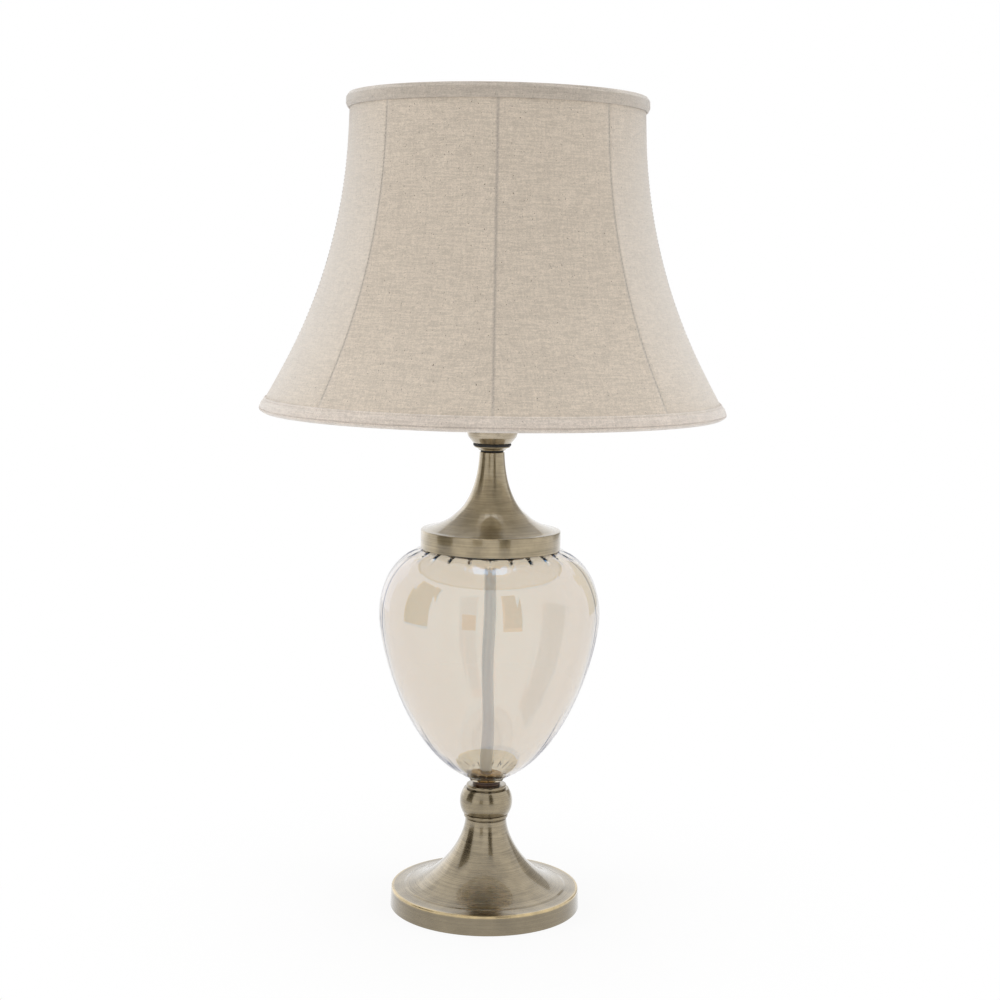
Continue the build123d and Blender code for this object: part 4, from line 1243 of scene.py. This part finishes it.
# %% Hoops and struts
hoop_steps = 160
hoop_wire_r = 1.95 * MM
hoop_inset = 3.2 * MM
strut_wire_r = 1.45 * MM
strut_inset = 2.9 * MM
strut_steps = 48


def hoop(name, node, radius, height):
    line = [at(radius, TURN * k / hoop_steps, height) for k in range(hoop_steps)]
    mesh = wire_mesh(name, [line], hoop_wire_r, closed=True)
    finish_piece(name, mesh, wire_paint, "shade", [node])


low_ring_z = middle_z("shade_bottom_ring")
low_ring_r = hem_r - hoop_inset
top_ring_z = middle_z("shade_top_ring")
top_ring_r = bell(top_ring_z) - hoop_inset
hoop("bottom_hoop", "shade_bottom_ring", low_ring_r, low_ring_z)
hoop("top_hoop", "shade_top_ring", top_ring_r, top_ring_z)

strut_low, strut_high = span("shade_struts")[1:]
strut_low += 1 * MM
strut_rise = strut_high - strut_low
strut_heights = [strut_low + strut_rise * k / strut_steps for k in range(strut_steps + 1)]
strut_turns = [panel_turn * panel - math.pi / 2 for panel in range(panel_count)]
strut_lines = [[at(bell(z) - strut_inset, turn, z) for z in strut_heights] for turn in strut_turns]
strut_mesh = wire_mesh("struts", strut_lines, strut_wire_r)
finish_piece("struts", strut_mesh, wire_paint, "shade", ["shade_struts"])
print("hoops", round(low_ring_r / MM, 1), "and", round(top_ring_r / MM, 1), "mm radius")

# %% [markdown]
# ## Arms and ring
# Each arm runs level off the ring, drops in a long slope and ends level on the bottom hoop. The
# two bends are eased with the same rounding as the lathe's corners. A small bead of weld sits
# where an arm meets the ring and the hoop.

# %% Arms and ring
fitter_t = 2 * MM
fitter_bore_r = 21 * MM
fitter_r = 30 * MM
arm_count = 4
arm_wire_r = 1.55 * MM
arm_bend = 14 * MM
arm_z = span("shade_fitter")[2] - 1.6 * MM
arm_end_r = low_ring_r - 1.9 * MM
bead_r = 2 * MM
fitter_low, fitter_high = arm_z - fitter_t / 2, arm_z + fitter_t / 2
fitter_path = rounded([
    (fitter_bore_r, fitter_low, 0.3 * MM),
    (fitter_r, fitter_low, 0.3 * MM),
    (fitter_r, fitter_high, 0.3 * MM),
    (fitter_bore_r, fitter_high, 0.3 * MM),
])
arm_profile = rounded([
    (fitter_r - 0.8 * MM, arm_z),
    (fitter_r + arm_bend, arm_z, arm_bend),
    (arm_end_r - arm_bend, low_ring_z, arm_bend),
    (arm_end_r, low_ring_z),
], closed=False, steps=12)
arm_turns = [TURN * k / arm_count for k in range(arm_count)]
arm_lines = [[at(p.x, turn, p.y) for p in arm_profile] for turn in arm_turns]
fitter_mesh = spun_mesh("fitter_ring", fitter_path, 96)
work = bmesh.new()
work.from_mesh(fitter_mesh)
work.from_mesh(wire_mesh("fitter_arms", arm_lines, arm_wire_r, 14))
for line in arm_lines:
    for spot in (line[0], line[-1]):
        bead = bmesh.ops.create_icosphere(work, subdivisions=2, radius=bead_r)
        bmesh.ops.scale(work, vec=(1, 1, 0.8), verts=bead["verts"])
        bmesh.ops.translate(work, vec=spot, verts=bead["verts"])
work.to_mesh(fitter_mesh)
work.free()
finish_piece("fitter", fitter_mesh, wire_paint, "shade", ["shade_fitter"])
print("arms", len(arm_lines))

# %% [markdown]
# ## Linen cover and lining
# The cover is eight flat-cut panels, stitched edge to edge and stretched over the frame. Between
# two struts the cloth takes the short way, so each panel is a little flat, and at each seam it
# is drawn in to the stitching. Both effects are one radius function of height and turn. The
# cover is a closed shell one millimetre thick, and the lining inside is thinner and smoother.

# %% Cover and lining
panel_flatness = 0.6
seam_depth = 0.35 * MM
seam_spread = 1.7 * MM
cover_t = 1.0 * MM
lining_inset = 5.6 * MM
lining_t = 0.6 * MM


def panel_radius(height, turn, inset):
    """The bell's radius with its panels flattened between the struts."""
    along = min(max((height - hem_z) / (crown_z - hem_z), 0), 1)
    across = ((turn + math.pi / 2) / panel_turn) % 1 - 0.5
    most = 1 - math.cos(panel_turn / 2)
    sag = panel_flatness * max(0.0, math.sin(math.pi * along)) * most
    return (bell(height) - inset) * (1 - sag * (1 - (2 * across) ** 2))


def seam_pull(height, turn):
    """How far the seam draws the cloth in here."""
    across = abs(((turn + math.pi / 2) / panel_turn + 0.5) % 1 - 0.5)
    off = across * panel_turn * bell(height)
    return seam_depth * math.exp(-((off / seam_spread) ** 2))


def panel_turns(per_panel):
    """Turns that crowd towards the seams, where the cloth bends most."""
    turns = []
    for panel in range(panel_count):
        for k in range(per_panel):
            share = k / per_panel
            crowded = share - 0.75 * math.sin(TURN * share) / TURN
            turns.append((panel + crowded) * panel_turn - math.pi / 2)
    return turns


def bell_shell(name, inset, thick, low, high, per_panel, rows, pull):
    """A closed shell between two copies of the bell."""
    turns = panel_turns(per_panel)
    count = len(turns)
    inner = count * (rows + 1)
    points = []
    faces = []
    for skin_inset, start in ((inset, 0), (inset + thick, inner)):
        for j in range(rows + 1):
            height = low + (high - low) * j / rows
            for turn in turns:
                radius = panel_radius(height, turn, skin_inset) - pull * seam_pull(height, turn)
                points.append(at(radius, turn, height))
        for j in range(rows):
            for k in range(count):
                a = start + j * count + k
                b = start + j * count + (k + 1) % count
                quad = (a, b, b + count, a + count)
                faces.append(quad[::-1] if start else quad)
    for j in (0, rows):
        for k in range(count):
            a = j * count + k
            b = j * count + (k + 1) % count
            quad = (a, a + inner, b + inner, b)
            faces.append(quad[::-1] if j else quad)
    return plain_mesh(name, points, faces)


cover_mesh = bell_shell("cover", 0, cover_t, hem_z, crown_z, 28, 90, 1.0)
cover = finish_piece(
    "cover", cover_mesh, oatmeal_linen, "shade", ["shade_fabric"]
)
lining_low, lining_high = span("shade_lining")[1:]
lining_mesh = bell_shell("lining", lining_inset, lining_t, lining_low, lining_high, 16, 60, 0.3)
lining = finish_piece(
    "lining", lining_mesh, white_lining, "shade", ["shade_lining"]
)
print("cover faces", len(cover_mesh.polygons), "lining faces", len(lining_mesh.polygons))

# %% [markdown]
# ## Seam stitches
# A grey thread closes each seam in short running stitches. Each stitch is a tiny slanted spindle
# that dips into the cloth at both ends, and there are only a few hundred, so they can be real
# geometry and still be cheap.

# %% Seam stitches
stitch_gap = 3.2 * MM
stitch_length = 2.2 * MM
stitch_slant = 0.5 * MM
stitch_r = 0.2 * MM
seam_end = 12 * MM
stitch_lines = []
stitch_rows = int((crown_z - hem_z - 2 * seam_end) / stitch_gap)
for turn in strut_turns:
    for row in range(stitch_rows):
        line = []
        for share in (0, 0.25, 0.5, 0.75, 1):
            height = hem_z + seam_end + row * stitch_gap + stitch_length * share
            proud = stitch_r * 1.6 * math.sin(math.pi * share) - stitch_r * 0.6
            radius = bell(height) - seam_depth + proud
            line.append(at(radius, turn + (share - 0.5) * stitch_slant / radius, height))
        stitch_lines.append(line)
stitch_mesh = wire_mesh("stitches", stitch_lines, stitch_r, 6)
stitches = finish_piece("stitches", stitch_mesh, seam_thread, "shade", ())
print("stitches", len(stitch_lines))

# %% [markdown]
# ## Bound edges
# A bias strip is folded over each hoop and glued down. At the bottom it shows a thin fold at
# the top, a plain band and, below a sharp crease, a roll that goes under the wire. At the top it
# is one softly padded band. Hand-laid cloth is never quite even, so the radius wanders by about
# a tenth of a millimetre as it goes round.

# %% Bound edges
edge_wander = 0.06 * MM


def hand_laid(i, turn, radius, height):
    """A slow unevenness round the edge, the same each time."""
    slow = math.sin(5 * turn + 1.3)
    return radius + edge_wander * (
        slow + 0.6 * math.sin(11 * turn + i * 0.2) + 0.4 * math.sin(23 * turn)
    )


def proud(out, height, *rounding):
    """A corner that stands out from the bell by this much."""
    return (bell(height) + out, height, *rounding)


def binding(name, node, corners, material, steps):
    return turned(name, corners, material, node, steps, hand_laid, "shade")


low_z, band_top = span("shade_bottom_trim")[1:]
crease_z = low_z + 3.4 * MM
low_trim = binding("bottom_binding", "shade_bottom_trim", [
    (bell(band_top) + 0.05 * MM, band_top - 0.4 * MM),
    proud(0.5 * MM, band_top, 0.25 * MM),
    proud(1.2 * MM, band_top - 0.9 * MM, 0.5 * MM),
    proud(0.75 * MM, band_top - 1.8 * MM, 0.3 * MM),
    proud(1.6 * MM, (band_top + crease_z) / 2, 4 * MM),
    proud(1.2 * MM, crease_z + 0.5 * MM, 0.4 * MM),
    proud(0.1 * MM, crease_z),
    proud(0.9 * MM, crease_z - 0.4 * MM, 0.4 * MM),
    (hem_r + 1.5 * MM, low_z + 1.6 * MM, 1.2 * MM),
    (hem_r - 1 * MM, low_z, 1.0 * MM),
    (low_ring_r - 2 * MM, low_z, 0.8 * MM),
    (low_ring_r - 2.2 * MM, low_ring_z, 1.2 * MM),
    (low_ring_r - 1 * MM, low_ring_z - 2.2 * MM),
    (low_ring_r + 2.2 * MM, low_ring_z - 2.2 * MM),
    (hem_r + 0.2 * MM, hem_z),
], binding_linen, 256)

top_low, top_high = span("shade_top_trim")[1:]
# The top band's linen is painted darker, as painted shade.
top_trim = binding("top_binding", "shade_top_trim", [
    (bell(top_low) + 0.1 * MM, top_low + 0.3 * MM),
    proud(1.3 * MM, top_low, 0.6 * MM),
    proud(3.0 * MM, top_low + 3.2 * MM, 3 * MM),
    (crown_r + 3.2 * MM, top_high - 3 * MM, 2 * MM),
    (crown_r + 2.2 * MM, top_high - 1.5 * MM, 0.5 * MM),
    (crown_r + 2.0 * MM, top_high - 1.1 * MM, 0.3 * MM),
    (crown_r + 1.2 * MM, top_high, 0.8 * MM),
    (crown_r - 5.2 * MM, top_high, 0.8 * MM),
    (crown_r - 5.5 * MM, top_high - 1.4 * MM),
    (crown_r + 0.2 * MM, top_high - 1.3 * MM),
], top_linen_painted_shade, 224)
print("bindings", [round((b - a) / MM, 1) for a, b in ((low_z, band_top), (top_low, top_high))])

# %% [markdown]
# ## What the cloth was cut to
# The size that the cover was cut to is worked out here and printed. The cover is eight
# bell-sided panels, and the area is found by adding up their widths.

# %% Cloth sizes
def cut_size(inset, low, high, steps=60):
    """(width, length) of all the panels side by side, and their area."""
    length = area = widest = 0.0
    for k in range(steps):
        a = low + (high - low) * k / steps
        b = low + (high - low) * (k + 1) / steps
        rise = math.hypot(b - a, bell(b) - bell(a))
        width = 2 * panel_count * math.sin(panel_turn / 2) * (bell((a + b) / 2) - inset)
        length += rise
        area += rise * width
        widest = max(widest, width)
    return (widest, length), area


cover_cut, cover_area = cut_size(0, hem_z, crown_z)
print("cover cut", [round(v, 3) for v in cover_cut], "m, area", round(cover_area, 4), "m2")

# %% [markdown]
# ## Pieces that keep their solid
# What is hidden inside the lamp, or is as plain as its solid, keeps the solid's own shape. It
# still gets its real finish, because someone may take the lamp apart.

# %% Finishes on the frame's own pieces
kept_finishes = {
    "base_weight": cast_iron,
    "base_washer": zinc_steel,
    "base_nut": zinc_steel,
    "upper_gasket": black_rubber,
    "cap_plate": zinc_steel,
    "tube_locknut": zinc_steel,
    "holder_insert": white_ceramic,
    "terminal_screws": contact_brass,
    "screw_shell": contact_brass,
    "centre_contact": contact_brass,
    "bulb_insulator": phenolic,
}
for node, material in kept_finishes.items():
    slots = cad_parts[node].data.materials
    slots.clear()
    slots.append(material)
print("kept solids", len(kept_finishes))

# %% [markdown]
# ## Light and ground
# The lamp stands in a white studio, lit by two tall soft boxes from the sides and by one
# overhead. The white behind and under the lamp is the colour of the room as the camera, the
# glass and the metal see it, and not more light: the ground is plain white, and it fades to
# that same white away from the foot, so that only the lamp's own shadow stays. The soft boxes
# light the cloth and the ground alone. Shiny things see cards in their place: a few dark and
# dim ones, which give the brass and the glass their shape, a bright one behind and one
# overhead.

# %% World
white = (1, 1, 1, 1)
ambient = 0.62
world = bpy.data.worlds.new("studio")
bpy.context.scene.world = world
sky = NodeSheet(world)
room = sky.nodes["Background"]
sky.join((1.0, 0.99, 0.975, 1.0), room.inputs["Color"])
sky.join(ambient, room.inputs["Strength"])
backdrop = sky.add("Background", None, {"Color": white, "Strength": 1.0})
room_light = Socket(sky, room.outputs[0])
either = sky.add("MixShader", None, {0: sky.mirrored(), 1: room_light, 2: backdrop})
sky.join(either, sky.nodes["World Output"].inputs["Surface"])
print("room light", ambient)

# %% Ground
ground_reach = 12.0
ground_finish = Finish("ground", roughness=0.8, specular_ior_level=0.0)
ground_finish.colour(tint(246, 246, 246))
point, x, y, z = ground_finish.place()
away = ((x * x + y * y) ** 0.5).step(0.09, 0.42)
glow = ground_finish.add("Emission", None, {"Color": white, "Strength": 1.0})
surface = Socket(ground_finish, ground_finish.surface.outputs[0])
amount = ground_finish.mirrored() * (0.92 + away * 0.08)
both = ground_finish.add("MixShader", None, {0: amount, 1: surface, 2: glow})
ground_finish.join(both, ground_finish.nodes["Material Output"].inputs["Surface"])

reach = ground_reach
corners = [(-reach, -reach, 0), (reach, -reach, 0), (reach, reach, 0), (-reach, reach, 0)]
ground_mesh = plain_mesh("ground", corners, [(0, 1, 2, 3)])
ground_mesh.materials.append(ground_finish.material)
ground = put("ground", ground_mesh)
print("ground", ground_reach, "m")

# %% Soft boxes
lamp_middle = Vector((0, 0, 0.36))
above = (0, 0.15, 1.9)


def soft_box(name, place, width, height, watts):
    light = bpy.data.lights.new(name, "AREA")
    light.shape = "RECTANGLE"
    light.size, light.size_y = width, height
    light.energy = watts
    box = put(name, light)
    box.location = place
    box.rotation_mode = "QUATERNION"
    box.rotation_quaternion = (lamp_middle - Vector(place)).to_track_quat("-Z", "Y")
    box.visible_glossy = False
    box.visible_transmission = False


soft_box("left_box", (-1.5, -0.75, 0.6), 0.7, 1.5, 11)
soft_box("right_box", (1.5, -0.75, 0.6), 0.7, 1.5, 9.2)
soft_box("top_box", above, 0.8, 0.8, 10)

# %% Cards that shiny things see
def screen(name, bearing, distance, width, low, high, tone, strength=1.0, through_glass=False):
    """An upright card round the lamp. A bearing of 0 degrees is towards the camera and 90 is to
    its right."""
    w = width / 2
    corners = [(-w, 0, low), (w, 0, low), (w, 0, high), (-w, 0, high)]
    mesh = plain_mesh(name, corners, [(0, 1, 2, 3)])
    finish = Finish(name, roughness=1.0, specular_ior_level=0.0, emission_strength=strength)
    finish.colour((0, 0, 0, 1))
    finish.join(tone, finish.surface.inputs["Emission Color"])
    mesh.materials.append(finish.material)
    card = put(name, mesh)
    angle = math.radians(bearing)
    card.location = (distance * math.sin(angle), -distance * math.cos(angle), 0)
    card.rotation_euler = (0, 0, angle)
    card.visible_camera = False
    card.visible_diffuse = False
    card.visible_transmission = through_glass
    card.visible_shadow = False
    return card


screen("dark_right", 23, 2.2, 0.7, 0.0, 2.1, tint(80, 74, 64), through_glass=True)
screen("dark_left", -80, 2.2, 1.3, 0.0, 2.1, tint(80, 74, 64), through_glass=True)
screen("dark_front", -21, 2.6, 0.7, 0.0, 0.8, tint(140, 134, 124))
screen("dim_back", 140, 2.4, 1.4, 0.0, 1.4, tint(184, 180, 173))
screen("bright_back", -140, 2.4, 1.4, 0.0, 1.6, white, 1.35)
overhead = screen("overhead", 0, 0, 0.6, -0.3, 0.3, white, 2.3)
overhead.location = above
overhead.rotation_euler = (math.pi / 2, 0, 0)
print("overhead card", above[2], "m up")
